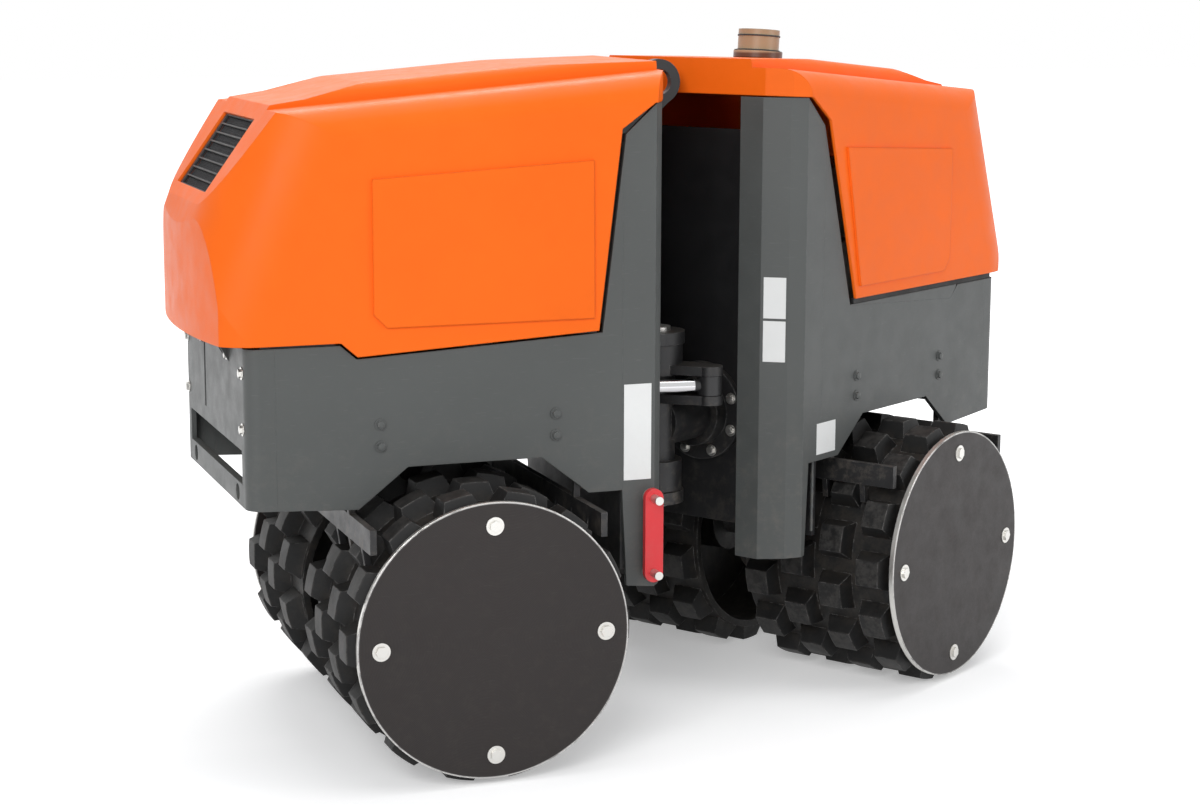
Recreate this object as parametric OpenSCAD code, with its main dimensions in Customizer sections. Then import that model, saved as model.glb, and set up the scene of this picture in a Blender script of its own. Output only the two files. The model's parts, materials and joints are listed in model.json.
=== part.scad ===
// Articulated trench roller with four padfoot drum halves, shown at full steering lock.
// Each half of the machine is drawn "outwards": x grows from the steering axis to its own end.

/* [Machine] */
// Steering angle that the machine is drawn at, in degrees
steer_angle = 32; // [0:1:32]
// Distance from the steering axis to each axle
axle_x = 470; // [440:5:520]
// Width over the drum covers
drum_track = 848; // [780:2:920]
// Height of the hood's roof at the steering axis
roof_z = 1272; // [1220:2:1320]

/* [Drums] */
// Radius over the tips of the pads, which is also the axle's height
pad_r = 265; // [260:1:275]
// Height of the pads over the drum's shell
pad_h = 33; // [26:1:40]
// Thickness of the drum's shell
shell_t = 14; // [10:1:20]
// How far the flat cover on the drum's outer end stands out past the shell
cover_rim = 20; // [12:1:26]
// Thickness of that cover
cover_t = 10; // [6:1:14]
// Pads in each row
pads_per_row = 14; // [10:1:16]
// Rows of pads on each drum half
pad_rows = 4; // [3:1:5]
// Length of a pad round the drum, at its foot
pad_foot = 74; // [60:1:84]
// Length of a pad round the drum, at its tip
pad_tip = 50; // [36:1:58]
// Groove between two rows of pads
groove_w = 20; // [16:1:26]
// Gap between the two drum halves of an axle
drum_gap = 124; // [118:2:140]

/* [Frame] */
// Half of the frame's width
side_y = 277; // [266:1:285]
// Distance from the axle to the frame's end
nose_reach = 406; // [380:2:430]
// Thickness of the side plates
plate_t = 10; // [6:1:12]
// Height of the frame's lower edge at its end
skirt_z = 498; // [490:2:510]
// Clearance between the pads and the drum arch
arch_gap = 30; // [20:1:36]
// Height of the frame's top edge
frame_z = 785; // [770:1:790]
// Height of the column's foot
post_z = 295; // [280:5:340]
// Height of the floor, which carries engine and tanks, over the drum arch
floor_rise = 62; // [56:1:80]

/* [Hoods] */
// Wall of a moulded hood
hood_t = 6; // [4:0.5:9]
// Radius of the shoulder between side and roof
shoulder_r = 50; // [40:1:60]
// Height of the raised middle of the roof over its shoulders
crown_h = 30; // [20:1:36]

/* [Articulation] */
// Radius of the steering pins
steer_pin_r = 22; // [18:1:24]
// Radius of the oscillation shaft
swivel_r = 36; // [30:1:40]
// Height of the oscillation shaft
swivel_z = 560; // [550:2:580]
// Radius of the steering cylinder's barrel
barrel_r = 26; // [22:1:26]
// Radius of its chromed rod
rod_r = 13; // [10:1:15]
// Diameter of the hole in the lifting eye
eye_d = 50; // [40:2:56]

/* [Hidden] */

$fn = 64;
// Overrun of every cut past the face it starts from
over = 2;
// Radial clearance of a shaft that turns in its bore
run = 0.05;
// Gap between two pieces that pass each other
gap = 1;
// Seat clearance of a piece that is carried loosely
seat = 0.2;
// Gap between two frame plates that a weld bridges
weld_gap = 0.2;

// Main stations: drum, arch, floor, cross wall and the frame's end
shell_r = pad_r - pad_h;
cover_r = shell_r + cover_rim;
arch_z = 2 * pad_r + arch_gap;
floor_z = arch_z + floor_rise;
wall_gap = 40;
bulkhead_x = axle_x - pad_r - wall_gap;
nose_x = axle_x + nose_reach;

// Inner end of the frame: a folded column on each side of the open articulation bay
end_x = 70;
fold_run = 22;
fold_x = end_x + fold_run;
corner_run = 19;
corner_x = fold_x + corner_run;
fold_in = 27;
fold_y = side_y - fold_in;
end_in = 50;
end_y = fold_y - end_in;
flange_in = 52;
// Share of the wall by which the fold's inside corner moves, which keeps the wall even
fold_share = 0.6;
nose_bend = 26;
column_drop = 72;
column_top = roof_z - column_drop;
column_slope = 45;
column_low = column_top - column_slope;
column_lead = 15;
column_out = bulkhead_x + column_lead;
wall_drop = 70;
bulkhead_top = column_top - wall_drop;
wall_foot_z = 335;
lip_rise = 6;
slant_lead = 59;
slant_low_x = bulkhead_x + slant_lead;
rear_slant_lead = 120;
rear_slant_x = bulkhead_x + rear_slant_lead;
post_out = bulkhead_x;
post_taper = 43;
post_low_out = bulkhead_x - post_taper;
arch_before = 230;
arch_in = axle_x - arch_before;
arch_behind = 207;
arch_out = axle_x + arch_behind;
arch_slope = 92;
arch_step = 10;
window_z = 600;
window_leg = 45;
bar_h = 26;
bar_t = 14;
tie_r = 15;
tie_y = 190;
hinge_plate = 40;
slot_w = 12;
slot_h = 145;
slot_y = 90;

// Body of the axle case
drum_in = drum_gap / 2;
case_r = 108;
case_clear = 12;
case_half = drum_in - case_clear;
neck_half = 78;
neck_y = 50;
flange_half_x = 165;
flange_half_y = 200;
flange_t = 14;
buffer_r = 32;
buffer_h = 42;
buffer_x = 125;
buffer_y = 160;
flange_top = floor_z - plate_t - buffer_h;
axle_r = 35;
exciter_rise = 130;
exciter_z = pad_r + exciter_rise;
exciter_r = 15;
cavity_r = 48;
weight_r = 42;
weight_half = 28;
motor_r = 45;
motor_len = 92;
drive_r = 96;
drive_len = 56;

// Drum halves
drum_out = drum_track / 2 - cover_t;
row_pitch = (drum_out - drum_in) / pad_rows;
web_set = 143;
web_in = drum_in + web_set;
web_t = 22;
hub_r = 72;
hub_set = 70;
hub_in = drum_in + hub_set;
pad_foot_w = row_pitch - groove_w;
pad_draw = 18;
pad_tip_w = pad_foot_w - pad_draw;
boss_r = 18;
bolt_ring = shell_r - shell_t - boss_r / 2;
bolt_r = 6;
bolt_head_r = 11;
bolt_head_h = 6;
bolt_len = 30;

// Scrapers
scraper_drop = 75;
scraper_z = 2 * pad_r - scraper_drop;
scraper_bar = 12;
scraper_bar_h = 44;
finger_t = 11;
scraper_in = shell_r - scraper_bar;
finger_len = 60;
scraper_tip_z = scraper_z - finger_len;
scraper_half = drum_out - shell_t;
hanger_y = side_y - plate_t - scraper_bar;
finger_reach = 9;

// Hoods
hood_over = 8;
hood_side = side_y + hood_over;
hood_ahead = 64;
hood_nose_x = nose_x + hood_ahead;
sill_gap = 5;
hood_low = frame_z + sill_gap;
rear_sill_gap = 13;
rear_hood_low = frame_z + rear_sill_gap;
step_h = 26;
step_in = arch_out;
step_run = 30;
step_out = step_in + step_run;
break_drop = 266;
break_z = roof_z - break_drop;
slope_run = 140;
slope_top_x = hood_nose_x - slope_run;
slope_drop = 71;
slope_top_z = roof_z - slope_drop;
ramp_run = 65;
ramp_x = slope_top_x - ramp_run;
ramp_h = 10;
ramp_z = slope_top_z + ramp_h;
plan_r = 75;
crown_run = 115;
crown_end = ramp_x - crown_run;
crown_half = 172;
crown_r = 26;
shoulder_slope = 4.9;
tilt = 20.4;
tilt_ahead = 73;
tilt_front = hood_nose_x + tilt_ahead;
tilt_r = 160;
reach = hood_nose_x + tilt_r;
// Share of that reach which the leaning corner form goes back
tilt_share = 1.4;
hinge_out = 19;
hinge_x = nose_x + hinge_out;
hinge_rise = 15;
hinge_z = frame_z + hinge_rise;
hinge_r = 6;
hinge_lug = 11;
lug_half = 10;
ear_t = 6;
hinge_y = 120;
bow = 16;
bow_r = 1420;
hood_proud = 4;
foot_drop = 85;
hood_foot_z = frame_z - foot_drop;
profile_drop = 10;
section_z = roof_z - profile_drop;
knee_run = 183;
profile_knee_x = crown_end - knee_run;
crown_drop = 32;
crown_end_z = roof_z - crown_drop;
grille_low = 52;
grille_top = 208;
grille_t = 5;
panel_h = 5;
panel_lead = 71;
panel_in = bulkhead_x + panel_lead;
panel_behind = 178;
panel_out = axle_x + panel_behind;
panel_drop = 172;
panel_top = roof_z - panel_drop;
panel_rise = 24;
grille_half = 130;
slat_n = 7;
slat_t = 3;
frame_rim = 12;
latch_lead = 165;
latch_x = bulkhead_x + latch_lead;
latch_rise = 65;
latch_z = frame_z + latch_rise;
latch_r = 20;
latch_bar = 60;
latch_h = 12;
latch_w = 14;
spindle_r = 7;

// Articulation
ear_r = 58;
yoke_ear_t = 24;
arm_rise = 18;
arm_z = floor_z + arm_rise;
yoke_rise = 102;
yoke_top = arm_z + yoke_rise;
yoke_drop = 160;
yoke_low = swivel_z - yoke_drop;
yoke_foot_y = 100;
yoke_foot_t = 10;
yoke_foot_h = 36;
pin_grip = 85;
pin_head_t = 8;
knuckle_head_h = 60;
knuckle_r = 40;
knuckle_head_r = 54;
knuckle_top = yoke_top - yoke_ear_t - gap;
knuckle_low = yoke_low + yoke_ear_t + gap;
arm_gap = 40;
arm_t = 18;
arm_x = 30;
arm_y = -110;
arm_end_r = 26;
cyl_pin_r = 11;
pivot_lead = 85;
pivot_x = bulkhead_x + pivot_lead;
pivot_y = -30;
swivel_lead = 47;
swivel_face = bulkhead_x - swivel_lead;
swivel_wall = 32;
swivel_tube_r = swivel_r + swivel_wall;
swivel_flange_r = swivel_tube_r + swivel_wall;
swivel_run = 85;
swivel_tube_end = bulkhead_x + swivel_run;
swivel_cut_run = 35;
swivel_cut = swivel_tube_end + swivel_cut_run;
retainer_rim = 16;
retainer_r = swivel_r + retainer_rim;
retainer_t = 14;
link_slack = 11;
eye_wall = 13;
eye_half = 20;
barrel_start = 24;
barrel_neck = 38;
barrel_end = 190;
barrel_wall = 7;
bore_r = barrel_r - barrel_wall;
gland_t = 14;
piston_x = 150;
window_in = -20;
window_out = 106;
window_h = 38;
slot_run = 50;
slot_end = pivot_x + slot_run;
bracket_half = 20;
bracket_t = 12;
peg_x = bulkhead_x - swivel_lead;
bar_top = 490;
bar_low = 312;
bar_half = 18;
bar_plate = 12;
peg_r = 8;
peg_len = 46;
peg_boss = 8;
eye_t = 18;
eye_drop = 46;
eye_z = roof_z - eye_drop;
eye_r = 44;
eye_foot_drop = 76;
eye_foot_z = eye_z - eye_foot_drop;

// Front bay: engine, cooling and pump
radiator_drop = 141;
radiator_top = slope_top_z - radiator_drop;
radiator_set = 76;
radiator_x = nose_x - radiator_set;
radiator_t = 44;
radiator_half = 210;
shroud_t = 24;
shroud_in = radiator_x - shroud_t;
fan_x = shroud_in - shroud_t;
fan_rise = 19;
fan_z = (floor_z + radiator_top) / 2 + fan_rise;
fan_rim = 54;
fan_r = (radiator_top - floor_z) / 2 - fan_rim;
fan_gap = 11;
shroud_r = fan_r + fan_gap;
fan_lead = 52;
engine_out = fan_x - fan_lead;
engine_len = 370;
engine_in = engine_out - engine_len;
engine_half = 105;
sump_gap = 18;
engine_low = floor_z + sump_gap;
engine_h = 290;
engine_top = engine_low + engine_h;
head_h = 70;
head_top = engine_top + head_h;
rocker_h = 40;
cover_top = head_top + rocker_h;
muffler_r = 58;
cleaner_r = 62;
aux_y = 182;
pump_r = 62;
pump_len = 100;
pump_rise = 138;
pump_z = floor_z + pump_rise;
mount_r = 24;
mount_x = 60;
block_step = 25;
filter_r = 38;
filter_lead = 100;
filter_x = engine_in + filter_lead;
filter_rise = 83;
filter_low = floor_z + filter_rise;
filter_h = 95;
filter_top = filter_low + filter_h;
muffler_drop = 30;
muffler_z = engine_top - muffler_drop;
cleaner_z = engine_top;
pot_lead = 50;
pot_in = engine_in + pot_lead;
pot_out = engine_out - mount_x;
pipe_r = 22;
fan_hub_r = 40;
fan_half = 14;
blades = 7;
blade_t = 6;
blade_twist = 28;
stub_r = 14;
hose_r = 11;
hose_bend = 40;
hose_x = 40;
hose_step = 60;
hose_rise = 100;
hose_z = pump_z + hose_rise;

// Rear bay: tanks, valves, controls and battery
battery_set = 131;
battery_x = nose_x - battery_set;
battery_len = 100;
battery_half = 130;
battery_h = 188;
battery_top = floor_z + battery_h;
tank_gap = 25;
tank_out = battery_x - tank_gap;
tank_len = 250;
tank_in = tank_out - tank_len;
tank_clear = 27;
tank_half = side_y - plate_t - tank_clear;
tank_h = 418;
tank_top = floor_z + tank_h;
tank_r = 30;
hyd_out = tank_in - tank_r;
hyd_len = 150;
hyd_in = hyd_out - hyd_len;
hyd_clear = 30;
hyd_half = tank_half - hyd_clear;
hyd_h = 278;
hyd_top = floor_z + hyd_h;
cap_r = 42;
cap_h = 30;
cap_lid = 8;
neck_r = 36;
neck_h = 20;
valve_len = 90;
valve_half = 120;
valve_h = 80;
port_r = 14;
// Places of the ports along the valve block, as shares of its half length
port_shares = [-0.75, -0.25, 0.25, 0.75];
box_depth = 60;
box_half = 110;
box_low = 900;
box_h = 160;
box_top = box_low + box_h;
receiver_x = 345;
receiver_r = 42;
receiver_h = 58;
receiver_foot = 50;

// Where the steering cylinder's rod eye lies with the machine as drawn
rod_eye_x = arm_x * cos(steer_angle) - arm_y * sin(steer_angle);
rod_eye_y = arm_x * sin(steer_angle) + arm_y * cos(steer_angle);
cylinder_len = norm([rod_eye_x + pivot_x, rod_eye_y - pivot_y]);
cylinder_turn = atan2(rod_eye_y - pivot_y, rod_eye_x + pivot_x);
// How far the steering axis stands from the origin, which is under the machine's middle
origin_x = ((hood_nose_x - bow - plan_r) * cos(steer_angle) + (hood_side - plan_r) * sin(steer_angle)
    + plan_r - hood_nose_x) / 2;
origin_y = ((axle_x + cover_r) * sin(steer_angle) + drum_track / 2 * (cos(steer_angle) - 1)) / 2;

// A cylinder along Y from y0 to y1, centred on (x, z)
module rod_y(x, z, r, y0, y1) {
    translate([x, y0, z]) rotate([-90, 0, 0]) cylinder(r = r, h = y1 - y0);
}
// A cylinder along X from x0 to x1, centred on (y, z)
module rod_x(y, z, r, x0, x1) {
    translate([x0, y, z]) rotate([0, 90, 0]) cylinder(r = r, h = x1 - x0);
}
// A box between two corners
module block(a, b) {
    translate(a) cube(b - a);
}
// A side outline, drawn in x and z, made wide along Y
module side_slab(points, y0, y1) {
    translate([0, y1, 0]) rotate([90, 0, 0]) linear_extrude(height = y1 - y0) polygon(points);
}
// Both sides of the machine's long axis
module both_sides() {
    children();
    mirror([0, 1, 0]) children();
}
// A rectangle with four round corners, from round and square pieces
module soft_rect(x0, x1, y0, y1, r) {
    translate([x0 + r, y0]) square([x1 - x0 - 2 * r, y1 - y0]);
    translate([x0, y0 + r]) square([x1 - x0, y1 - y0 - 2 * r]);
    for (x = [x0 + r, x1 - r], y = [y0 + r, y1 - r]) translate([x, y]) circle(r = r);
}
module front_place() {
    translate([-origin_x, -origin_y, 0]) rotate([0, 0, 180]) children();
}
module axis_place() {
    translate([-origin_x, -origin_y, 0]) children();
}
module rear_place() {
    translate([-origin_x, -origin_y, 0]) rotate([0, 0, steer_angle]) children();
}

// Plan of the frame's outside, drawn in by d all round
module frame_plan(d) {
    polygon([[end_x + d, -end_y + d / 2], [fold_x + d, -fold_y + d * fold_share],
        [corner_x + d, -side_y + d],
        [nose_x - nose_bend, -side_y + d], [nose_x - nose_bend, side_y - d], [corner_x + d, side_y - d],
        [fold_x + d, fold_y - d * fold_share], [end_x + d, end_y - d / 2]]);
    translate([nose_x - 2 * nose_bend, -side_y + nose_bend])
        square([2 * nose_bend - d, 2 * (side_y - nose_bend)]);
    for (s = [-1, 1]) translate([nose_x - nose_bend, s * (side_y - nose_bend)]) circle(r = nose_bend - d);
}
// Side outline of the plates: column, arch, skirt and the edge under the hood
module frame_outline(low_out, slant_x) {
    side_slab([[end_x - over, post_z], [low_out, post_z + arch_step],
        [low_out + arch_step, skirt_z - arch_step],
        [arch_in, skirt_z - arch_step], [arch_in + arch_slope, arch_z], [arch_out - arch_slope, arch_z],
        [arch_out, skirt_z - arch_step], [nose_x + over, skirt_z], [nose_x + over, frame_z],
        [step_out, frame_z], [step_in, frame_z - step_h], [slant_x - arch_step, frame_z],
        [column_out - arch_step, column_low - arch_step], [corner_x, column_top],
        [end_x - over, column_top]],
        -side_y - over, side_y + over);
}
// Two ears on the end plate that hold one hinge pin of the hood
module hinge_ears(y) {
    for (e = [y - lug_half - gap - ear_t, y + lug_half + gap]) {
        rod_y(hinge_x, hinge_z, hinge_lug, e, e + ear_t);
        side_slab([[nose_x - plate_t / 2, frame_z - hinge_plate], [nose_x, frame_z - hinge_plate],
            [hinge_x + hinge_lug, hinge_z], [hinge_x, hinge_z], [hinge_x, hinge_z + hinge_lug],
            [nose_x - plate_t / 2, frame_z]], e, e + ear_t);
    }
}
// Folded plates of one half, butt welded: two corner columns, two arched side plates, the end plate
// and the lower cross bar between its legs
module frame_weldment(low_out, slant_x) {
    difference() {
        union() {
            intersection() {
                translate([0, 0, post_z]) linear_extrude(height = column_top) difference() {
                    frame_plan(0);
                    frame_plan(plate_t);
                    translate([0, flange_in - end_y]) square([bulkhead_x, 2 * (end_y - flange_in)]);
                }
                frame_outline(low_out, slant_x);
            }
            for (s = [-1, 1]) hinge_ears(s * hinge_y);
        }
        block([nose_x - nose_bend, window_leg - side_y, skirt_z - over],
            [nose_x + over, side_y - window_leg, window_z]);
        translate([nose_x - plate_t - over, -slot_y, floor_z + slot_w / 2])
            cube([plate_t + 2 * over, slot_w, slot_h]);
        for (s = [-1, 1])
            rod_y(hinge_x, hinge_z, hinge_r + seat, s * hinge_y - hinge_plate, s * hinge_y + hinge_plate);
        for (x = [bulkhead_x + plate_t, nose_x - 2 * nose_bend])
            block([x, -side_y - over, 0], [x + weld_gap, side_y + over, roof_z]);
    }
    difference() {
        block([nose_x - bar_t, window_leg - side_y + weld_gap, skirt_z],
            [nose_x, side_y - window_leg - weld_gap, skirt_z + bar_h + tie_r]);
        for (s = [-1, 1])
            rod_x(s * tie_y, skirt_z + (bar_h + tie_r) / 2, tie_r, nose_x - bar_t - over, nose_x + over);
    }
}
// Upright cross wall between the side plates
module cross_wall() {
    block([bulkhead_x, plate_t - side_y + weld_gap, wall_foot_z],
        [bulkhead_x + plate_t, side_y - plate_t - weld_gap, bulkhead_top]);
}
// Floor between the side plates
module bay_floor() {
    translate([0, 0, floor_z - plate_t]) linear_extrude(height = plate_t) difference() {
        frame_plan(plate_t + weld_gap);
        translate([0, -side_y]) square([bulkhead_x + plate_t + weld_gap, 2 * side_y]);
    }
}
module front_frame() {
    color("dimgray") front_place() {
        frame_weldment(post_out, slant_low_x);
        difference() {
            cross_wall();
            block([bulkhead_x - over, window_in, arm_z - window_h],
                [bulkhead_x + plate_t + over, window_out, arm_z + window_h]);
        }
        difference() {
            bay_floor();
            block([bulkhead_x - over, window_in, floor_z - plate_t - over],
                [slot_end, window_out, floor_z + over]);
        }
    }
}
module rear_frame() {
    color("dimgray") rear_place() {
        frame_weldment(post_low_out, rear_slant_x);
        difference() {
            cross_wall();
            rod_x(0, swivel_z, swivel_tube_r + seat, bulkhead_x - over, bulkhead_x + plate_t + over);
        }
        difference() {
            bay_floor();
            block([bulkhead_x - over, -swivel_tube_r - gap, floor_z - plate_t - over],
                [swivel_cut, swivel_tube_r + gap, floor_z + over]);
        }
    }
}

// One ear of the steering yoke with its foot on the cross wall
module yoke_ear(z) {
    difference() {
        union() {
            translate([0, 0, z]) linear_extrude(height = yoke_ear_t) {
                circle(r = ear_r);
                polygon([[0, -ear_r], [bulkhead_x, -yoke_foot_y], [bulkhead_x, yoke_foot_y], [0, ear_r]]);
            }
            block([bulkhead_x - yoke_foot_t, -yoke_foot_y, z - yoke_foot_h],
                [bulkhead_x, yoke_foot_y, z + yoke_ear_t + yoke_foot_h]);
        }
        translate([0, 0, z - over]) cylinder(r = steer_pin_r + run, h = yoke_ear_t + 2 * over);
    }
}
module front_yoke() {
    color("darkslategray") front_place() {
        yoke_ear(yoke_low);
        yoke_ear(yoke_top - yoke_ear_t);
    }
}
// Two headed pins that the machine steers about
module steering_pins() {
    color("silver") axis_place() {
        translate([0, 0, yoke_low]) cylinder(r = steer_pin_r, h = pin_grip);
        translate([0, 0, yoke_low - pin_head_t]) cylinder(r = steer_pin_r + pin_head_t, h = pin_head_t);
        translate([0, 0, yoke_top - pin_grip]) cylinder(r = steer_pin_r, h = pin_grip);
        translate([0, 0, yoke_top]) cylinder(r = steer_pin_r + pin_head_t, h = pin_head_t);
    }
}
// Centre joint: steers about its upright pins and carries the shaft that the rear half rolls on
module knuckle() {
    color("darkslategray") axis_place() rotate([0, 0, steer_angle]) difference() {
        union() {
            translate([0, 0, knuckle_low]) cylinder(r = knuckle_r, h = knuckle_top - knuckle_low);
            for (z = [knuckle_low, knuckle_top - knuckle_head_h]) translate([0, 0, z])
                cylinder(r = knuckle_head_r, h = knuckle_head_h);
            rod_x(0, swivel_z, swivel_r, 0, swivel_tube_end + gap + retainer_t);
            rod_x(0, swivel_z, retainer_r, 0, swivel_face - gap);
            rod_x(0, swivel_z, retainer_r, swivel_tube_end + gap, swivel_tube_end + gap + retainer_t);
            for (z = [arm_z - arm_gap / 2 - arm_t, arm_z + arm_gap / 2]) translate([0, 0, z])
                linear_extrude(height = arm_t) {
                    polygon([[-knuckle_r, 0], [arm_x - arm_end_r, arm_y], [arm_x + arm_end_r, arm_y],
                        [knuckle_r, 0]]);
                    translate([arm_x, arm_y]) circle(r = arm_end_r);
                }
            translate([arm_x, arm_y, arm_z - arm_gap / 2 - arm_t])
                cylinder(r = cyl_pin_r, h = arm_gap + 2 * arm_t);
        }
        translate([0, 0, knuckle_low - over])
            cylinder(r = steer_pin_r + run, h = pin_grip - yoke_ear_t + over);
        translate([0, 0, knuckle_top + over - (pin_grip - yoke_ear_t + over)])
            cylinder(r = steer_pin_r + run, h = pin_grip - yoke_ear_t + over);
    }
}
// Flanged tube in the rear cross wall that turns on the knuckle's shaft
module swivel_housing() {
    color("darkslategray") rear_place() difference() {
        union() {
            rod_x(0, swivel_z, swivel_tube_r, swivel_face, swivel_tube_end);
            rod_x(0, swivel_z, swivel_flange_r, bulkhead_x - retainer_t, bulkhead_x);
        }
        rod_x(0, swivel_z, swivel_r + run, swivel_face - over, swivel_tube_end + over);
    }
}
// Along the steering cylinder from its pivot on the front half
module cylinder_place() {
    axis_place() translate([-pivot_x, pivot_y, arm_z]) rotate([0, 0, cylinder_turn]) children();
}
module steering_barrel() {
    color("dimgray") cylinder_place() difference() {
        union() {
            rod_x(0, 0, eye_half, barrel_start, barrel_neck);
            rod_x(0, 0, barrel_r, barrel_neck, barrel_end);
            translate([0, 0, -eye_half]) cylinder(r = cyl_pin_r + link_slack + eye_wall, h = 2 * eye_half);
        }
        rod_x(0, 0, bore_r, barrel_neck + gland_t / 2, barrel_end - gland_t);
        rod_x(0, 0, rod_r + run, barrel_neck + gland_t / 2, barrel_end + over);
        translate([0, 0, -barrel_r - over]) cylinder(r = cyl_pin_r + link_slack, h = 2 * (barrel_r + over));
    }
}
module steering_rod() {
    color("gainsboro") cylinder_place() difference() {
        union() {
            rod_x(0, 0, bore_r - run, piston_x, piston_x + gland_t);
            rod_x(0, 0, rod_r, piston_x, cylinder_len);
            translate([cylinder_len, 0, gap - arm_gap / 2])
                cylinder(r = cyl_pin_r + eye_wall, h = arm_gap - 2 * gap);
        }
        translate([cylinder_len, 0, -arm_gap]) cylinder(r = cyl_pin_r + run, h = 2 * arm_gap);
    }
}
// Plate under the front floor with the pin that the steering cylinder pushes against
module steering_bracket() {
    color("darkslategray") axis_place() difference() {
        union() {
            block([-slot_end - bracket_half, -window_out - bracket_half, floor_z - plate_t - bracket_t],
                [-bulkhead_x - plate_t - gap, -window_in + bracket_half, floor_z - plate_t]);
            translate([-pivot_x, pivot_y, floor_z - plate_t])
                cylinder(r = cyl_pin_r, h = arm_z + eye_half + gap + pin_head_t - floor_z + plate_t);
            translate([-pivot_x, pivot_y, arm_z + eye_half + gap])
                cylinder(r = cyl_pin_r + link_slack + gap, h = pin_head_t);
            translate([-pivot_x, pivot_y, floor_z - plate_t])
                cylinder(r = cyl_pin_r + link_slack + gap, h = arm_z - eye_half - gap - floor_z + plate_t);
        }
    }
}
// Single-point lifting eye over the articulation, on an arm from the front cross wall
module lifting_eye() {
    color("darkslategray") front_place() difference() {
        union() {
            side_slab([[-eye_r / 2, eye_z - eye_r * 0.86], [bulkhead_x, eye_foot_z - 3 * eye_r],
                [bulkhead_x, bulkhead_top - eye_r / 4], [fold_x, eye_foot_z + eye_r * 0.6],
                [eye_r, eye_z]], -eye_t / 2, eye_t / 2);
            rod_y(0, eye_z, eye_r, -eye_t / 2, eye_t / 2);
            block([bulkhead_x - yoke_foot_t, -eye_r, eye_foot_z - 3 * eye_r],
                [bulkhead_x, eye_r, bulkhead_top]);
        }
        rod_y(0, eye_z, eye_d / 2, -eye_t / 2 - over, eye_t / 2 + over);
    }
}
// Bar that holds the halves straight for transport, stowed on two pegs
module lock_bar() {
    color("crimson") front_place() difference() {
        union() {
            block([peg_x - bar_half, side_y + peg_boss, bar_low + bar_half],
                [peg_x + bar_half, side_y + peg_boss + bar_plate, bar_top - bar_half]);
            for (z = [bar_low + bar_half, bar_top - bar_half])
                rod_y(peg_x, z, bar_half, side_y + peg_boss, side_y + peg_boss + bar_plate);
        }
        for (z = [bar_low + bar_half, bar_top - bar_half])
            rod_y(peg_x, z, peg_r + run, side_y, side_y + peg_boss + bar_plate + over);
    }
}
module lock_pegs() {
    color("silver") front_place() for (z = [bar_low + bar_half, bar_top - bar_half]) {
        rod_y(peg_x, z, peg_r, side_y, side_y + peg_len);
        rod_y(peg_x, z, peg_r + peg_boss, side_y, side_y + peg_boss - seat);
    }
}

// Plan of a hood drawn in by d: chamfered inner end, round nose corners and a bowed front
module hood_plan(d) {
    intersection() {
        union() {
            polygon([[end_x + d, -end_y - hood_proud + d / 2],
                [fold_x + d, -fold_y - hood_proud + d * fold_share],
                [corner_x + d, -hood_side + d], [hood_nose_x - 2 * plan_r, -hood_side + d],
                [hood_nose_x - 2 * plan_r, hood_side - d], [corner_x + d, hood_side - d],
                [fold_x + d, fold_y + hood_proud - d * fold_share],
                [end_x + d, end_y + hood_proud - d / 2]]);
            soft_rect(hood_nose_x - 5 * plan_r, hood_nose_x - d, -hood_side + d, hood_side - d,
                plan_r + bow - d);
        }
        translate([hood_nose_x - bow_r - d, 0]) circle(r = bow_r);
    }
}
// Cross section of a hood drawn in by d, falling to the nose, with the raised middle of the roof
module hood_section(d) {
    translate([0, 0, section_z]) rotate([0, shoulder_slope, 0]) rotate([90, 0, 90]) {
        linear_extrude(height = reach)
            union() {
                soft_rect(-hood_side + d, hood_side - d, -reach, -d, shoulder_r - d);
                soft_rect(-crown_half + d, crown_half - d, -reach, crown_h - d, crown_r - d);
            }
    }
}
// Solid form of a hood drawn in by d, where profile, plan, section and leaning corners meet
module hood_form(d) {
    intersection() {
        side_slab([[end_x + d, hood_foot_z - d], [hood_nose_x - d, hood_foot_z - d],
            [hood_nose_x - d, slope_top_z - crown_h - d], [slope_top_x, slope_top_z - d],
            [ramp_x, ramp_z - d], [crown_end, crown_end_z - d], [profile_knee_x, roof_z - profile_drop - d],
            [end_x + d, roof_z - d]],
            -2 * side_y, 2 * side_y);
        translate([0, 0, hood_foot_z - hood_t - over]) linear_extrude(height = roof_z) hood_plan(d);
        translate([tilt_front, 0, hood_low]) rotate([0, -tilt, 0]) translate([0, 0, -reach])
            linear_extrude(height = 2 * reach)
                soft_rect(-tilt_share * reach, -d, -hood_side + d, hood_side - d, tilt_r - d);
        hood_section(d);
        nose_place() block([-2 * reach, -reach, -reach], [-d, reach, reach]);
    }
}
// On the slanted face of the nose: x points out of it and z up along it
module nose_place() {
    translate([hood_nose_x, 0, break_z])
        rotate([0, -atan((hood_nose_x - slope_top_x) / (slope_top_z - break_z)), 0]) children();
}
// Outline of the hood from the side, with or without the step in its lower edge
module hood_cut(slant_x, low, step) {
    side_slab([[slant_x, low], [step_in, low - step], [step_out, low], [reach, low],
        [reach, reach + roof_z], [0, reach + roof_z], [0, column_top + lip_rise],
        [corner_x + arch_step / 2, column_top + gap], [column_out, column_low]],
        -2 * side_y, 2 * side_y);
}
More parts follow.
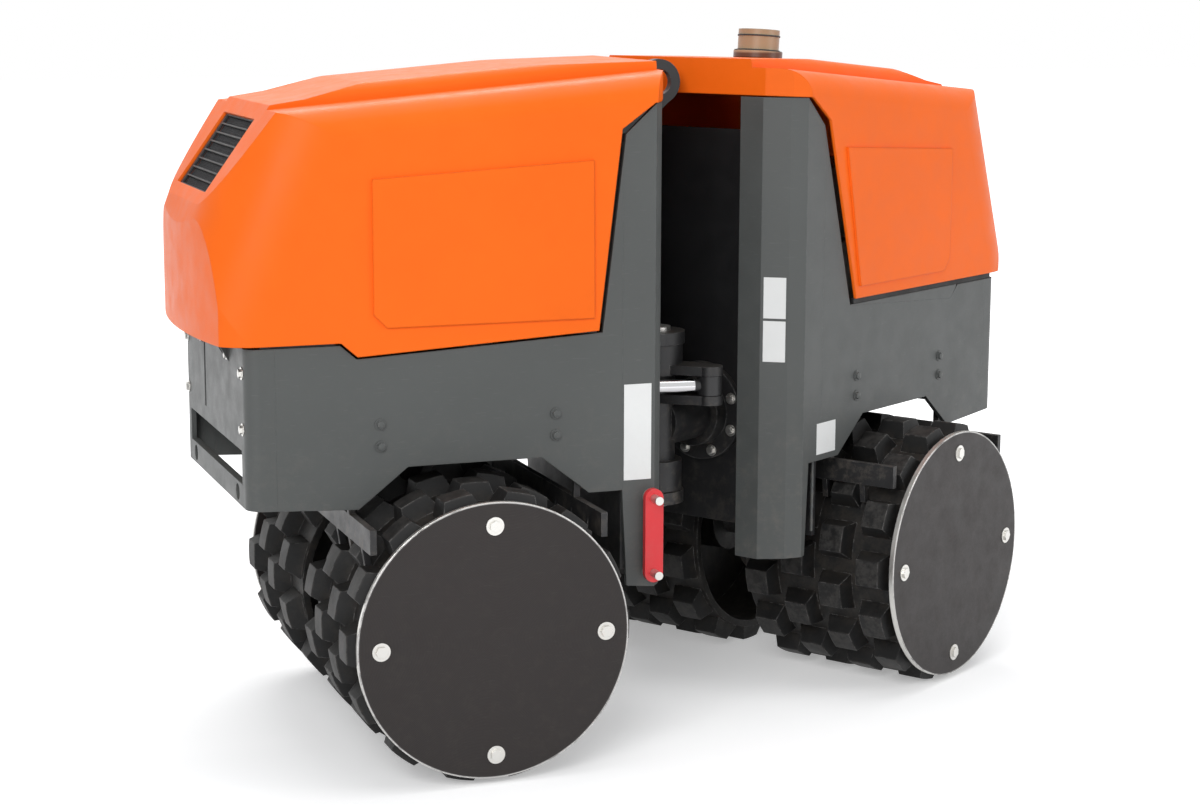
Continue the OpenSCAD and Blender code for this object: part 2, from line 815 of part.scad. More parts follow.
// Moulded hood: thin shell open below, with raised side panels, nose opening and hinge lugs
module hood(slant_x, low, step, latch_side) {
    difference() {
        union() {
            intersection() {
                difference() {
                    hood_form(0);
                    hood_form(hood_t);
                    nose_place()
                        block([-3 * hood_t, -grille_half, grille_low], [hood_t, grille_half, grille_top]);
                }
                hood_cut(slant_x, low, step);
            }
            both_sides() side_slab([[slant_x + arch_step, low + panel_rise],
                [panel_out - panel_rise, low + panel_rise], [panel_out, low + 2 * panel_rise],
                [panel_out, panel_top - panel_rise], [panel_in, panel_top]],
                hood_side - hood_t / 2, hood_side + panel_h);
            for (s = [-1, 1]) {
                rod_y(hinge_x, hinge_z, hinge_lug, s * hinge_y - lug_half, s * hinge_y + lug_half);
                block([hinge_x, s * hinge_y - lug_half, hinge_z - hinge_lug],
                    [hood_nose_x - bow / 2, s * hinge_y + lug_half, hinge_z + hinge_lug]);
            }
        }
        for (s = [-1, 1])
            rod_y(hinge_x, hinge_z, hinge_r + run, s * hinge_y - hinge_plate, s * hinge_y + hinge_plate);
        rod_y(latch_x, latch_z, spindle_r + run, latch_side * hood_side - latch_bar,
            latch_side * hood_side + latch_bar);
    }
}
module front_hood() {
    color("orangered") front_place() hood(slant_low_x, hood_low, step_h, -1);
}
module rear_hood() {
    color("orangered") rear_place() hood(rear_slant_x, rear_hood_low, 0, 1);
}
// Louvre that lies behind the opening in the nose
module louvre() {
    nose_place() difference() {
        translate([-hood_t - grille_t, 0, 0]) difference() {
            block([0, -grille_half - frame_rim, grille_low - frame_rim],
                [grille_t, grille_half + frame_rim, grille_top + frame_rim]);
            for (i = [0 : slat_n]) translate([-over, -grille_half + frame_rim, grille_low + slat_t
                + i * (grille_top - grille_low - slat_t) / (slat_n + 1)])
                cube([grille_t + 2 * over, 2 * (grille_half - frame_rim),
                    (grille_top - grille_low - slat_t) / (slat_n + 1) - slat_t]);
        }
    }
}
module front_grille() {
    color("black") front_place() louvre();
}
module rear_grille() {
    color("black") rear_place() louvre();
}
// Hinge pins of one hood
module hinge_pins() {
    for (s = [-1, 1]) rod_y(hinge_x, hinge_z, hinge_r, s * hinge_y - lug_half - gap - ear_t - over,
        s * hinge_y + lug_half + gap + ear_t + over);
}
module front_hinge_pins() {
    color("silver") front_place() hinge_pins();
}
module rear_hinge_pins() {
    color("silver") rear_place() hinge_pins();
}
// Quarter-turn latch of a hood, with its handle outside and its cam inside
module latch() {
    rod_y(latch_x, latch_z, spindle_r, hood_side - hood_t - latch_h, hood_side + panel_h + latch_h);
    block([latch_x - latch_bar / 2, hood_side + panel_h + gap, latch_z - latch_w / 2],
        [latch_x + latch_bar / 2, hood_side + panel_h + gap + latch_h, latch_z + latch_w / 2]);
    rod_y(latch_x, latch_z, latch_r, hood_side + panel_h + seat, hood_side + panel_h + latch_h / 2);
    block([latch_x - latch_w / 2, hood_side - hood_t - latch_h, latch_z - latch_w / 2],
        [latch_x + latch_bar / 2, hood_side - hood_t - latch_h / 2, latch_z + latch_w / 2]);
}
module front_latch() {
    color("black") front_place() mirror([0, 1, 0]) latch();
}
module rear_latch() {
    color("black") rear_place() latch();
}
// Receiver of the remote control, standing square on the sloping roof
module receiver_head() {
    color("black") rear_place() translate([0, 0, section_z]) rotate([0, shoulder_slope, 0])
        translate([receiver_x, 0, crown_h]) {
            cylinder(r = receiver_foot, h = receiver_h / 4);
            cylinder(r = receiver_r, h = receiver_h);
        }
}

// Axle case: round hub on the axle, chamber of the exciter, neck and flange under the floor
module axle_case() {
    difference() {
        union() {
            rod_y(axle_x, pad_r, case_r, -case_half, case_half);
            block([axle_x - neck_half, -neck_y, pad_r], [axle_x + neck_half, neck_y, flange_top - flange_t]);
            block([axle_x - flange_half_x, -flange_half_y, flange_top - flange_t],
                [axle_x + flange_half_x, flange_half_y, flange_top]);
        }
        rod_y(axle_x, pad_r, axle_r + run, -case_half - over, case_half + over);
        rod_y(axle_x, exciter_z, cavity_r, -weight_half - gap, weight_half + gap);
        rod_y(axle_x, exciter_z, exciter_r + run, gap - case_half, case_half + over);
    }
}
module front_axle_case() {
    color("dimgray") front_place() axle_case();
}
module rear_axle_case() {
    color("dimgray") rear_place() axle_case();
}
// Four rubber buffers between an axle case and the floor
module buffers() {
    for (sx = [-1, 1], sy = [-1, 1]) translate([axle_x + sx * buffer_x, sy * buffer_y, flange_top])
        cylinder(r = buffer_r, h = buffer_h);
}
module front_buffers() {
    color("black") front_place() buffers();
}
module rear_buffers() {
    color("black") rear_place() buffers();
}
// Drive motor round the axle, on the far face of the case
module drive_motor() {
    difference() {
        rod_y(axle_x, pad_r, drive_r, -case_half - drive_len, -case_half);
        rod_y(axle_x, pad_r, axle_r + gap, -case_half - drive_len - over, over - case_half);
    }
}
module front_drive_motor() {
    color("slategray") front_place() drive_motor();
}
module rear_drive_motor() {
    color("slategray") rear_place() drive_motor();
}
// Motor of the exciter, on the near face of the case
module vibrator_motor() {
    rod_y(axle_x, exciter_z, motor_r, case_half, case_half + motor_len);
}
module front_vibrator_motor() {
    color("slategray") front_place() vibrator_motor();
}
module rear_vibrator_motor() {
    color("slategray") rear_place() vibrator_motor();
}
// Exciter shaft with its eccentric weight hanging down
module exciter() {
    rod_y(axle_x, exciter_z, exciter_r, 2 * gap - case_half, case_half - gap);
    intersection() {
        rod_y(axle_x, exciter_z, weight_r, -weight_half, weight_half);
        block([axle_x - weight_r, -weight_half, exciter_z - weight_r],
            [axle_x + weight_r, weight_half, exciter_z]);
    }
}
module front_exciter() {
    color("gray") front_place() exciter();
}
module rear_exciter() {
    color("gray") rear_place() exciter();
}
// Axle shaft that joins the two drum halves
module axle() {
    rod_y(axle_x, pad_r, axle_r, -web_in - web_t, web_in + web_t);
}
module front_axle() {
    color("silver") front_place() axle();
}
module rear_axle() {
    color("silver") rear_place() axle();
}

// One row of pads as a tapered ring cut into separate feet, every other row turned by half a pitch
module pad_row(i) {
    y0 = drum_in + i * row_pitch + groove_w / 2;
    side_taper = (pad_foot_w - pad_tip_w) / 2;
    intersection() {
        translate([0, y0, 0]) rotate([-90, 0, 0]) rotate_extrude()
            polygon([[shell_r - shell_t / 2, 0], [shell_r, 0], [pad_r, side_taper],
                [pad_r, pad_foot_w - side_taper], [shell_r, pad_foot_w],
                [shell_r - shell_t / 2, pad_foot_w]]);
        translate([0, y0, 0]) rotate([-90, 0, 0]) linear_extrude(height = pad_foot_w)
            for (k = [0 : pads_per_row - 1]) rotate(90 + (k + (i % 2) / 2) * 360 / pads_per_row)
                polygon([[shell_r - shell_t / 2, -pad_foot / 2], [shell_r, -pad_foot / 2],
                    [pad_r + over, -pad_tip / 2], [pad_r + over, pad_tip / 2], [shell_r, pad_foot / 2],
                    [shell_r - shell_t / 2, pad_foot / 2]]);
    }
}
// Padfoot drum half: rolled shell, pads, web, hub and the bosses of the cover bolts
module drum_half() {
    translate([axle_x, 0, pad_r]) difference() {
        union() {
            difference() {
                rod_y(0, 0, shell_r, drum_in, drum_out);
                rod_y(0, 0, shell_r - shell_t, drum_in - over, drum_out + over);
            }
            for (i = [0 : pad_rows - 1]) pad_row(i);
            rod_y(0, 0, shell_r - shell_t / 2, web_in, web_in + web_t);
            rod_y(0, 0, hub_r, hub_in, web_in);
            for (a = [0 : 90 : 270]) intersection() {
                rotate([0, a, 0]) rod_y(bolt_ring, 0, boss_r, drum_out - bolt_len - over, drum_out);
                rod_y(0, 0, shell_r - shell_t / 2, 0, drum_out);
            }
        }
        rod_y(0, 0, axle_r + seat, hub_in - over, web_in + web_t + over);
        for (a = [0 : 90 : 270]) rotate([0, a, 0])
            rod_y(bolt_ring, 0, bolt_r + seat, drum_out - bolt_len, drum_out + over);
    }
}
module front_drum_left() {
    color("dimgray") front_place() drum_half();
}
module front_drum_right() {
    color("dimgray") front_place() mirror([0, 1, 0]) drum_half();
}
module rear_drum_left() {
    color("dimgray") rear_place() mirror([0, 1, 0]) drum_half();
}
module rear_drum_right() {
    color("dimgray") rear_place() drum_half();
}
// Flat covers on both ends of a drum, with their bolt holes
module drum_covers() {
    both_sides() translate([axle_x, 0, pad_r]) difference() {
        rod_y(0, 0, cover_r, drum_out, drum_out + cover_t);
        for (a = [0 : 90 : 270]) rotate([0, a, 0])
            rod_y(bolt_ring, 0, bolt_r + seat, drum_out - over, drum_out + cover_t + over);
    }
}
module front_drum_covers() {
    color("dimgray") front_place() drum_covers();
}
module rear_drum_covers() {
    color("dimgray") rear_place() drum_covers();
}
// Eight cover bolts of one axle
module cover_bolts() {
    both_sides() for (a = [0 : 90 : 270]) translate([axle_x, 0, pad_r]) rotate([0, a, 0]) {
        rod_y(bolt_ring, 0, bolt_r, drum_out + cover_t - bolt_len, drum_out + cover_t);
        translate([bolt_ring, drum_out + cover_t, 0]) rotate([-90, 0, 0])
            cylinder(r = bolt_head_r, h = bolt_head_h, $fn = 6);
    }
}
module front_cover_bolts() {
    color("silver") front_place() cover_bolts();
}
module rear_cover_bolts() {
    color("silver") rear_place() cover_bolts();
}
// Scraper bars before and behind a drum, with a finger in each groove and hangers up to the floor
module scraper() {
    block([-scraper_in, -scraper_half, scraper_z - scraper_bar_h / 2],
        [scraper_bar - scraper_in, scraper_half, scraper_z + scraper_bar_h / 2]);
    both_sides() {
        block([-scraper_in, hanger_y - scraper_bar, scraper_z],
            [scraper_bar - scraper_in, hanger_y, floor_z - plate_t]);
        for (i = [1 : pad_rows - 1]) side_slab([[-scraper_in, scraper_z],
            [finger_reach - scraper_in, scraper_tip_z],
            [finger_reach + scraper_bar - scraper_in, scraper_tip_z],
            [scraper_bar - scraper_in, scraper_z]],
            drum_in + i * row_pitch - finger_t / 2, drum_in + i * row_pitch + finger_t / 2);
    }
}
module scrapers() {
    translate([axle_x, 0, 0]) {
        scraper();
        mirror([1, 0, 0]) scraper();
    }
}
module front_scrapers() {
    color("dimgray") front_place() scrapers();
}
module rear_scrapers() {
    color("dimgray") rear_place() scrapers();
}

// Engine block with sump, cylinder head, feet and the stub shaft of the fan
module engine_block() {
    color("slategray") front_place() {
        block([engine_in, -engine_half, engine_low + 2 * block_step], [engine_out, engine_half, engine_top]);
        block([engine_in + block_step, block_step - engine_half, engine_low],
            [engine_out - block_step, engine_half - block_step, engine_low + 2 * block_step]);
        block([engine_in + block_step, -engine_half + block_step, engine_top],
            [engine_out - block_step, engine_half - block_step, head_top]);
        for (x = [engine_in + mount_x, engine_out - mount_x]) both_sides() {
            translate([x, engine_half + mount_r, floor_z]) cylinder(r = mount_r, h = block_step + mount_r);
            block([x - mount_r, engine_half - block_step, floor_z + block_step + mount_r],
                [x + mount_r, engine_half + 2 * mount_r, floor_z + 2 * block_step + mount_r]);
        }
        rod_x(0, fan_z, stub_r, engine_out, fan_x + fan_half + over);
    }
}
module rocker_cover() {
    color("dimgray") front_place() translate([0, 0, head_top]) linear_extrude(height = cover_top - head_top)
        soft_rect(engine_in + 2 * block_step, engine_out - 2 * block_step, 2 * block_step - engine_half,
            engine_half - 2 * block_step, block_step);
}
module oil_filter() {
    color("white") front_place() {
        translate([filter_x, engine_half + filter_r + block_step, filter_low])
            cylinder(r = filter_r, h = filter_top - filter_low);
        block([filter_x - filter_r, engine_half, filter_top],
            [filter_x + filter_r, engine_half + 2 * filter_r + block_step, filter_top + block_step]);
    }
}
// Silencer beside the head, on its inlet pipe
module exhaust_muffler() {
    color("gray") front_place() {
        rod_x(-aux_y, muffler_z, muffler_r, pot_in, pot_out);
        rod_y((pot_in + pot_out) / 2, muffler_z, pipe_r, -aux_y, -engine_half);
    }
}
// Air cleaner on the other side of the head, on its outlet pipe
module air_cleaner() {
    color("black") front_place() {
        rod_x(aux_y, cleaner_z, cleaner_r, pot_in, pot_out);
        rod_x(aux_y, cleaner_z, cleaner_r + gap, pot_in, pot_in + block_step);
        rod_y((pot_in + pot_out) / 2, cleaner_z - block_step, pipe_r, engine_half, aux_y);
    }
}
module radiator() {
    color("black") front_place() {
        block([radiator_x, -radiator_half, floor_z], [radiator_x + radiator_t, radiator_half, radiator_top]);
        rod_y(radiator_x + radiator_t / 2, radiator_top, radiator_t / 2, -radiator_half, radiator_half);
    }
}
module fan_shroud() {
    color("dimgray") front_place() difference() {
        block([shroud_in, -radiator_half, floor_z], [radiator_x, radiator_half, radiator_top]);
        rod_x(0, fan_z, shroud_r, shroud_in - over, radiator_x + over);
    }
}
module cooling_fan() {
    color("black") front_place() difference() {
        union() {
            rod_x(0, fan_z, fan_hub_r, fan_x - fan_half, fan_x + fan_half);
            for (k = [0 : blades - 1]) translate([fan_x, 0, fan_z]) rotate([k * 360 / blades, 0, 0])
                rotate([0, 0, blade_twist]) translate([-blade_t / 2, -fan_half * 2, stub_r + blade_t])
                cube([blade_t, 4 * fan_half, fan_r - stub_r - 2 * blade_t]);
        }
        rod_x(0, fan_z, stub_r + run, fan_x - 4 * fan_half, fan_x + 4 * fan_half);
    }
}
module hydraulic_pump() {
    color("slategray") front_place() {
        rod_x(0, pump_z, pump_r, engine_in - pump_len, engine_in);
        rod_x(0, pump_z, pump_r - block_step, engine_in - pump_len - block_step, engine_in - pump_len);
    }
}
// Hoses that rise from the pump and turn to the cross wall
module pressure_hoses() {
    color("black") front_place() for (k = [0, 1])
        translate([engine_in - hose_x * (2 - k), 0, hose_z + k * hose_step]) {
            translate([0, 0, pump_z + pump_r + seat - hose_z - k * hose_step])
                cylinder(r = hose_r, h = hose_z + k * hose_step - pump_z - pump_r - seat);
            translate([-hose_bend, 0, 0]) rotate([90, 0, 0]) rotate_extrude(angle = 90)
                translate([hose_bend, 0]) circle(r = hose_r);
            rod_x(0, hose_bend, hose_r, bulkhead_x + plate_t - engine_in + hose_x * (2 - k), -hose_bend);
        }
}
// Rear bay: battery, tanks, valves and controls
module battery() {
    color("black") rear_place() {
        block([battery_x, -battery_half, floor_z], [battery_x + battery_len, battery_half, battery_top]);
        both_sides() translate([battery_x + battery_len / 4, battery_half - block_step, battery_top])
            cylinder(r = exciter_r / 2, h = block_step / 2);
    }
}
module hydraulic_tank() {
    color("dimgray") rear_place() translate([0, 0, floor_z]) linear_extrude(height = hyd_top - floor_z)
        soft_rect(hyd_in, hyd_out, -hyd_half, hyd_half, tank_r);
}
module fuel_tank() {
    color("dimgray") rear_place() {
        translate([0, 0, floor_z]) linear_extrude(height = tank_top - floor_z)
            soft_rect(tank_in, tank_out, -tank_half, tank_half, tank_r);
        translate([(tank_in + tank_out) / 2, tank_half / 2, tank_top]) cylinder(r = neck_r, h = neck_h);
    }
}
module fuel_cap() {
    color("black") rear_place() translate([(tank_in + tank_out) / 2, tank_half / 2, tank_top + seat])
        difference() {
            cylinder(r = cap_r, h = cap_h);
            translate([0, 0, -over]) cylinder(r = neck_r + run, h = cap_h - cap_lid + over);
        }
}
module valve_block() {
    color("slategray") rear_place() {
        block([hyd_in + tank_r, -valve_half, hyd_top],
            [hyd_in + tank_r + valve_len, valve_half, hyd_top + valve_h]);
        for (share = port_shares)
            translate([hyd_in + tank_r + valve_len / 2, valve_half * share, hyd_top + valve_h])
            cylinder(r = port_r, h = port_r);
    }
}
module control_box() {
    color("black") rear_place()
        block([bulkhead_x + plate_t, -box_half, box_low],
            [bulkhead_x + plate_t + box_depth, box_half, box_top]);
}

front_frame();
rear_frame();
front_yoke();
knuckle();
steering_pins();
swivel_housing();
steering_barrel();
steering_rod();
steering_bracket();
lifting_eye();
lock_bar();
lock_pegs();
front_hood();
rear_hood();
front_grille();
rear_grille();
front_hinge_pins();
rear_hinge_pins();
front_latch();
rear_latch();
receiver_head();
front_axle_case();
rear_axle_case();
front_buffers();
rear_buffers();
front_drive_motor();
rear_drive_motor();
front_vibrator_motor();
rear_vibrator_motor();
front_exciter();
rear_exciter();
front_axle();
rear_axle();
front_drum_left();
front_drum_right();
rear_drum_left();
rear_drum_right();
front_drum_covers();
rear_drum_covers();
front_cover_bolts();
rear_cover_bolts();
front_scrapers();
rear_scrapers();
engine_block();
rocker_cover();
oil_filter();
exhaust_muffler();
air_cleaner();
radiator();
fan_shroud();
cooling_fan();
hydraulic_pump();
battery();
hydraulic_tank();
fuel_tank();
fuel_cap();
valve_block();
control_box();
pressure_hoses();
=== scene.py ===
import json
import math
import random

import bmesh
import bpy
from mathutils import Matrix, Vector


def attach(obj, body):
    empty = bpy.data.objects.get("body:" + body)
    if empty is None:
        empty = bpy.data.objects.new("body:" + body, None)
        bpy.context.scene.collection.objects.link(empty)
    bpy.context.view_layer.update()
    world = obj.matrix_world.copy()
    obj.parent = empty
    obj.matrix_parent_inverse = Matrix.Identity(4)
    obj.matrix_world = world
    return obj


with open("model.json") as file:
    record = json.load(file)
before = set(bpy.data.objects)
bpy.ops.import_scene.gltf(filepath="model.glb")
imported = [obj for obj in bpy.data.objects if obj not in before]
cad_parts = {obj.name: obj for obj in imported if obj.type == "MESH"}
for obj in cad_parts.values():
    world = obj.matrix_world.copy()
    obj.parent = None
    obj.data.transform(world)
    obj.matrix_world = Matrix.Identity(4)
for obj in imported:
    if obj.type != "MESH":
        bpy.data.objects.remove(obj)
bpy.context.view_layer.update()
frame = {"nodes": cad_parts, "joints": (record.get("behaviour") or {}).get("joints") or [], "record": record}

random.seed(7)
scene = bpy.context.scene
move, rotate = Matrix.Translation, Matrix.Rotation

# Where the halves stand: each half's x runs outwards from the steering axis, as in the CAD source
joints = {j["name"]: j for j in frame["joints"]}
pivot = Vector(joints["steering"]["pos_m"])
axis_foot = Vector((pivot.x, pivot.y, 0))
turn = math.atan2(joints["oscillation"]["axis"][1], joints["oscillation"]["axis"][0])
FRONT = move(axis_foot) @ rotate(math.pi, 4, "Z")
REAR = move(axis_foot) @ rotate(turn, 4, "Z")
FRONT_BAY, REAR_BAY = (FRONT, "front_chassis"), (REAR, "rear_chassis")
HALVES = {"front": FRONT_BAY, "rear": REAR_BAY}
SIDES = (-1, 1)


def span(node, place):
    """Lowest and highest corner of a CAD node, measured along a half's own axes."""
    into = place.inverted()
    points = [into @ v.co for v in frame["nodes"][node].data.vertices]
    return [Vector([pick(p[i] for p in points) for i in range(3)]) for pick in (min, max)]


def around(count, radius=1.0, start=0.0):
    """Points spaced evenly on a circle."""
    for k in range(count):
        angle = start + 2 * math.pi * k / count
        yield radius * math.cos(angle), radius * math.sin(angle)


drum_low, drum_high = span("front_drum_left", FRONT)
AXLE_X, AXLE_Z = (drum_low.x + drum_high.x) / 2, (drum_low.z + drum_high.z) / 2
SIDE = span("front_frame", FRONT)[1].y
COVER_Y = span("front_drum_covers", FRONT)[1].y
WALL_X = span("front_yoke", FRONT)[1].x
RECEIVER_FOOT = span("receiver_head", REAR)[0].z


# ---------------- materials
class Tree:
    """A material's node tree with short calls for the nodes used here."""

    def __init__(self, name):
        self.material = bpy.data.materials.new(name)
        self.material.use_nodes = True
        self.nodes = self.material.node_tree.nodes
        self.links = self.material.node_tree.links
        self.nodes.clear()
        self.out = self.nodes.new("ShaderNodeOutputMaterial")
        self.bsdf = self.nodes.new("ShaderNodeBsdfPrincipled")
        self.links.new(self.bsdf.outputs[0], self.out.inputs[0])
        self.place = self.nodes.new("ShaderNodeTexCoord").outputs["Object"]
        self.geometry = self.nodes.new("ShaderNodeNewGeometry")

    def put(self, value, socket):
        if isinstance(value, bpy.types.NodeSocket):
            self.links.new(value, socket)
        elif isinstance(value, (tuple, list)) and len(value) == 3 and socket.type == "RGBA":
            socket.default_value = (*value, 1)
        else:
            socket.default_value = value

    def noise(self, scale, detail=4, rough=0.55, vector=None):
        n = self.nodes.new("ShaderNodeTexNoise")
        n.inputs["Scale"].default_value = scale
        n.inputs["Detail"].default_value = detail
        n.inputs["Roughness"].default_value = rough
        self.put(vector or self.place, n.inputs["Vector"])
        return n.outputs["Fac"]

    def ramp(self, value, low, high, to_low=0.0, to_high=1.0):
        n = self.nodes.new("ShaderNodeMapRange")
        self.put(value, n.inputs["Value"])
        numbers = {"From Min": low, "From Max": high, "To Min": to_low, "To Max": to_high}
        for socket, number in numbers.items():
            n.inputs[socket].default_value = number
        return n.outputs[0]

    def math(self, kind, a, b=0.0):
        n = self.nodes.new("ShaderNodeMath")
        n.operation = kind
        self.put(a, n.inputs[0])
        self.put(b, n.inputs[1])
        return n.outputs[0]

    def times(self, a, b):
        return self.math("MULTIPLY", a, b)

    def vector(self, kind, a, b=None, scale=None):
        n = self.nodes.new("ShaderNodeVectorMath")
        n.operation = kind
        self.put(a, n.inputs[0])
        if b is not None:
            self.put(b, n.inputs[1])
        if scale is not None:
            self.put(scale, n.inputs["Scale"])
        return n.outputs["Value"] if kind in ("DOT_PRODUCT", "LENGTH") else n.outputs["Vector"]

    def blend(self, factor, a, b):
        n = self.nodes.new("ShaderNodeMix")
        n.data_type = "RGBA"
        self.put(factor, n.inputs[0])
        self.put(a, n.inputs[6])
        self.put(b, n.inputs[7])
        return n.outputs[2]

    def part(self, vector, axis):
        n = self.nodes.new("ShaderNodeSeparateXYZ")
        self.put(vector, n.inputs[0])
        return n.outputs[axis]


DUST, WORN_STEEL = (0.42, 0.36, 0.29), (0.42, 0.41, 0.40)
# Noises of the finishes, as scale, detail and roughness
BROAD, MOTTLE = (3.1, 3), (23.0, 5, 0.62)
FINE_DETAIL, FINE_ROUGH = 3, 0.6
CHIPS, SCRATCH, PATCHES, SPLASHES = (60, 4, 0.7), (42, 2, 0.4), (9, 6, 0.7), (31, 6, 0.75)
SOIL, TIP_WEAR, RIM_WEAR, HEAT = (38, 6, 0.75), (46, 5, 0.7), (24, 4, 0.7), (14, 4)
SCRATCH_STRETCH = (1, 1, 9)
SPLASH_Z = (0.75, 0.08)
MOST_DIRT, DIRT_ROUGHNESS = 0.85, 0.35
BEVEL_SAMPLES, BUMP_STRENGTH, COAT_ROUGHNESS = 4, 0.5, 0.28


def surface(name, base, rough, metal=0.0, tone=0.10, grain=220.0, depth=0.06, dust=0.25, wear=0.0,
            bare=WORN_STEEL, coat=0.0, edge=0.0016, low_dust=0.4, scratches=0.0, specular=0.5, hook=None):
    """A finish with tone changes, fine grain, soft and worn edges, dust from above, splashes from below."""
    t = Tree(name)
    broad = t.noise(*BROAD)
    mottle = t.noise(*MOTTLE)
    fine = t.noise(grain, FINE_DETAIL, FINE_ROUGH)
    darker = tuple(c * (1 - tone) for c in base)
    lighter = tuple(min(1, c * (1 + tone)) for c in base)
    colour = t.blend(t.ramp(t.math("ADD", broad, t.times(mottle, 0.5)), 0.45, 1.05), darker, lighter)
    roughness = t.math("ADD", t.ramp(mottle, 0.3, 0.7, rough * 0.85, min(1, rough * 1.18)),
                       t.ramp(fine, 0.3, 0.7, -0.03, 0.03))
    metallic = metal
    bevel = t.nodes.new("ShaderNodeBevel")
    bevel.samples = BEVEL_SAMPLES
    bevel.inputs["Radius"].default_value = edge
    if wear:
        cosine = t.vector("DOT_PRODUCT", bevel.outputs[0], t.geometry.outputs["Normal"])
        rim = t.ramp(cosine, 0.995, 0.9)
        worn = t.times(t.times(rim, t.ramp(t.noise(*CHIPS), 0.47, 0.58)), wear)
        colour = t.blend(worn, colour, bare)
        metallic = t.math("MAXIMUM", metal, t.times(worn, 0.8))
    if scratches:
        stretched = t.nodes.new("ShaderNodeMapping")
        stretched.inputs["Scale"].default_value = SCRATCH_STRETCH
        t.put(t.place, stretched.inputs[0])
        line = t.ramp(t.noise(*SCRATCH, stretched.outputs[0]), 0.68, 0.72)
        pale = tuple(min(1, c * 1.9 + 0.05) for c in base)
        colour = t.blend(t.times(line, scratches), colour, pale)
    if hook:
        colour, roughness, metallic = hook(t, colour, roughness, metallic)
    upward = t.ramp(t.part(t.geometry.outputs["Normal"], 2), 0.45, 1.0)
    patchy = t.ramp(t.noise(*PATCHES), 0.38, 0.75)
    splash = t.times(t.ramp(t.part(t.place, 2), *SPLASH_Z), t.ramp(t.noise(*SPLASHES), 0.5, 0.72))
    fallen, thrown = t.times(t.times(upward, patchy), dust), t.times(splash, low_dust)
    dirt = t.math("MINIMUM", t.math("ADD", fallen, thrown), MOST_DIRT)
    colour = t.blend(dirt, colour, DUST)
    roughness = t.math("ADD", roughness, t.times(dirt, DIRT_ROUGHNESS))
    bump = t.nodes.new("ShaderNodeBump")
    bump.inputs["Strength"].default_value = BUMP_STRENGTH
    bump.inputs["Distance"].default_value = depth / 1000
    t.put(t.math("ADD", fine, t.times(mottle, 1.5)), bump.inputs["Height"])
    t.put(bevel.outputs[0], bump.inputs["Normal"])
    values = {"Base Color": colour, "Roughness": roughness, "Metallic": metallic, "Normal": bump.outputs[0],
              "Coat Weight": coat, "Specular IOR Level": specular, "Coat Roughness": COAT_ROUGHNESS}
    for socket, value in values.items():
        t.put(value, t.bsdf.inputs[socket])
    return t.material


def axle_radius(t, centre, axis):
    """Distance of the shaded point from an axle."""
    arm = t.vector("SUBTRACT", t.place, centre)
    along = t.vector("DOT_PRODUCT", arm, axis)
    return t.vector("LENGTH", t.vector("SUBTRACT", arm, t.vector("SCALE", axis, scale=along)))


# Distances from the axle at which a look sets in and is full
SOIL_R, TIP_R, RIM_R = (0.252, 0.234), (0.2615, 0.2645), (0.2485, 0.2505)
RINGS_PER_M = 2400.0


def drum_hook(centre, axis):
    """Pad tips rubbed to bare steel, with dry soil between the pads."""
    def hook(t, colour, roughness, metallic):
        radius = axle_radius(t, centre, axis)
        soil = t.times(t.ramp(radius, *SOIL_R), t.ramp(t.noise(*SOIL), 0.40, 0.68))
        colour = t.blend(t.times(soil, 0.16), colour, (0.13, 0.105, 0.08))
        tip = t.times(t.ramp(radius, *TIP_R), t.ramp(t.noise(*TIP_WEAR), 0.42, 0.60))
        colour = t.blend(t.times(tip, 0.45), colour, (0.11, 0.105, 0.10))
        return colour, roughness, t.times(tip, 0.6)
    return hook


def cover_hook(centre, axis):
    """Flat cover with a bright rubbed rim and faint rings from turning."""
    def hook(t, colour, roughness, metallic):
        radius = axle_radius(t, centre, axis)
        ring = t.math("SINE", t.times(radius, RINGS_PER_M))
        colour = t.blend(t.ramp(ring, -1, 1, 0.0, 0.10), colour, (0.10, 0.09, 0.085))
        rim = t.times(t.ramp(radius, *RIM_R), t.ramp(t.noise(*RIM_WEAR), 0.30, 0.50))
        colour = t.blend(t.times(rim, 0.9), colour, (0.62, 0.61, 0.60))
        return colour, roughness, t.times(rim, 0.8)
    return hook


# Where the painted shade of the bay sets in and is full, in a half's own x and y
NEAR_X, BETWEEN_Y = (WALL_X + 0.013, WALL_X + 0.012), (SIDE - 0.008, SIDE - 0.010)
BEHIND_X, INNER_Y, INNER_X = (0.1115, 0.1125), (0.1985, 0.1980), (0.0810, 0.0815)


def bay_shade_hook(outward, across):
    """Painted shade: near-black on the cross wall and on the inner faces of the columns, where the bay lies
    in shadow.
    """
    def hook(t, colour, roughness, metallic):
        arm = t.vector("SUBTRACT", t.place, tuple(axis_foot))
        x = t.vector("DOT_PRODUCT", arm, tuple(outward))
        y = t.math("ABSOLUTE", t.vector("DOT_PRODUCT", arm, tuple(across)))
        wall = t.times(t.ramp(y, *BETWEEN_Y), t.ramp(x, *BEHIND_X))
        inner = t.times(t.ramp(y, *INNER_Y), t.ramp(x, *INNER_X))
        painted_shade = t.times(t.ramp(x, *NEAR_X), t.math("MAXIMUM", wall, inner))
        return t.blend(painted_shade, colour, (0.012, 0.012, 0.013)), roughness, metallic
    return hook


def heat_hook(t, colour, roughness, metallic):
    """Brown heat tint in soft bands."""
    band = t.ramp(t.noise(*HEAT), 0.4, 0.65)
    return t.blend(t.times(band, 0.5), colour, (0.22, 0.12, 0.07)), roughness, metallic


# Where the eye's paint and the painted shade on the receiver's foot set in and are full
EYE_R, FOOT_SHADE_Z = (0.0345, 0.0340), (RECEIVER_FOOT + 0.020, RECEIVER_FOOT + 0.016)


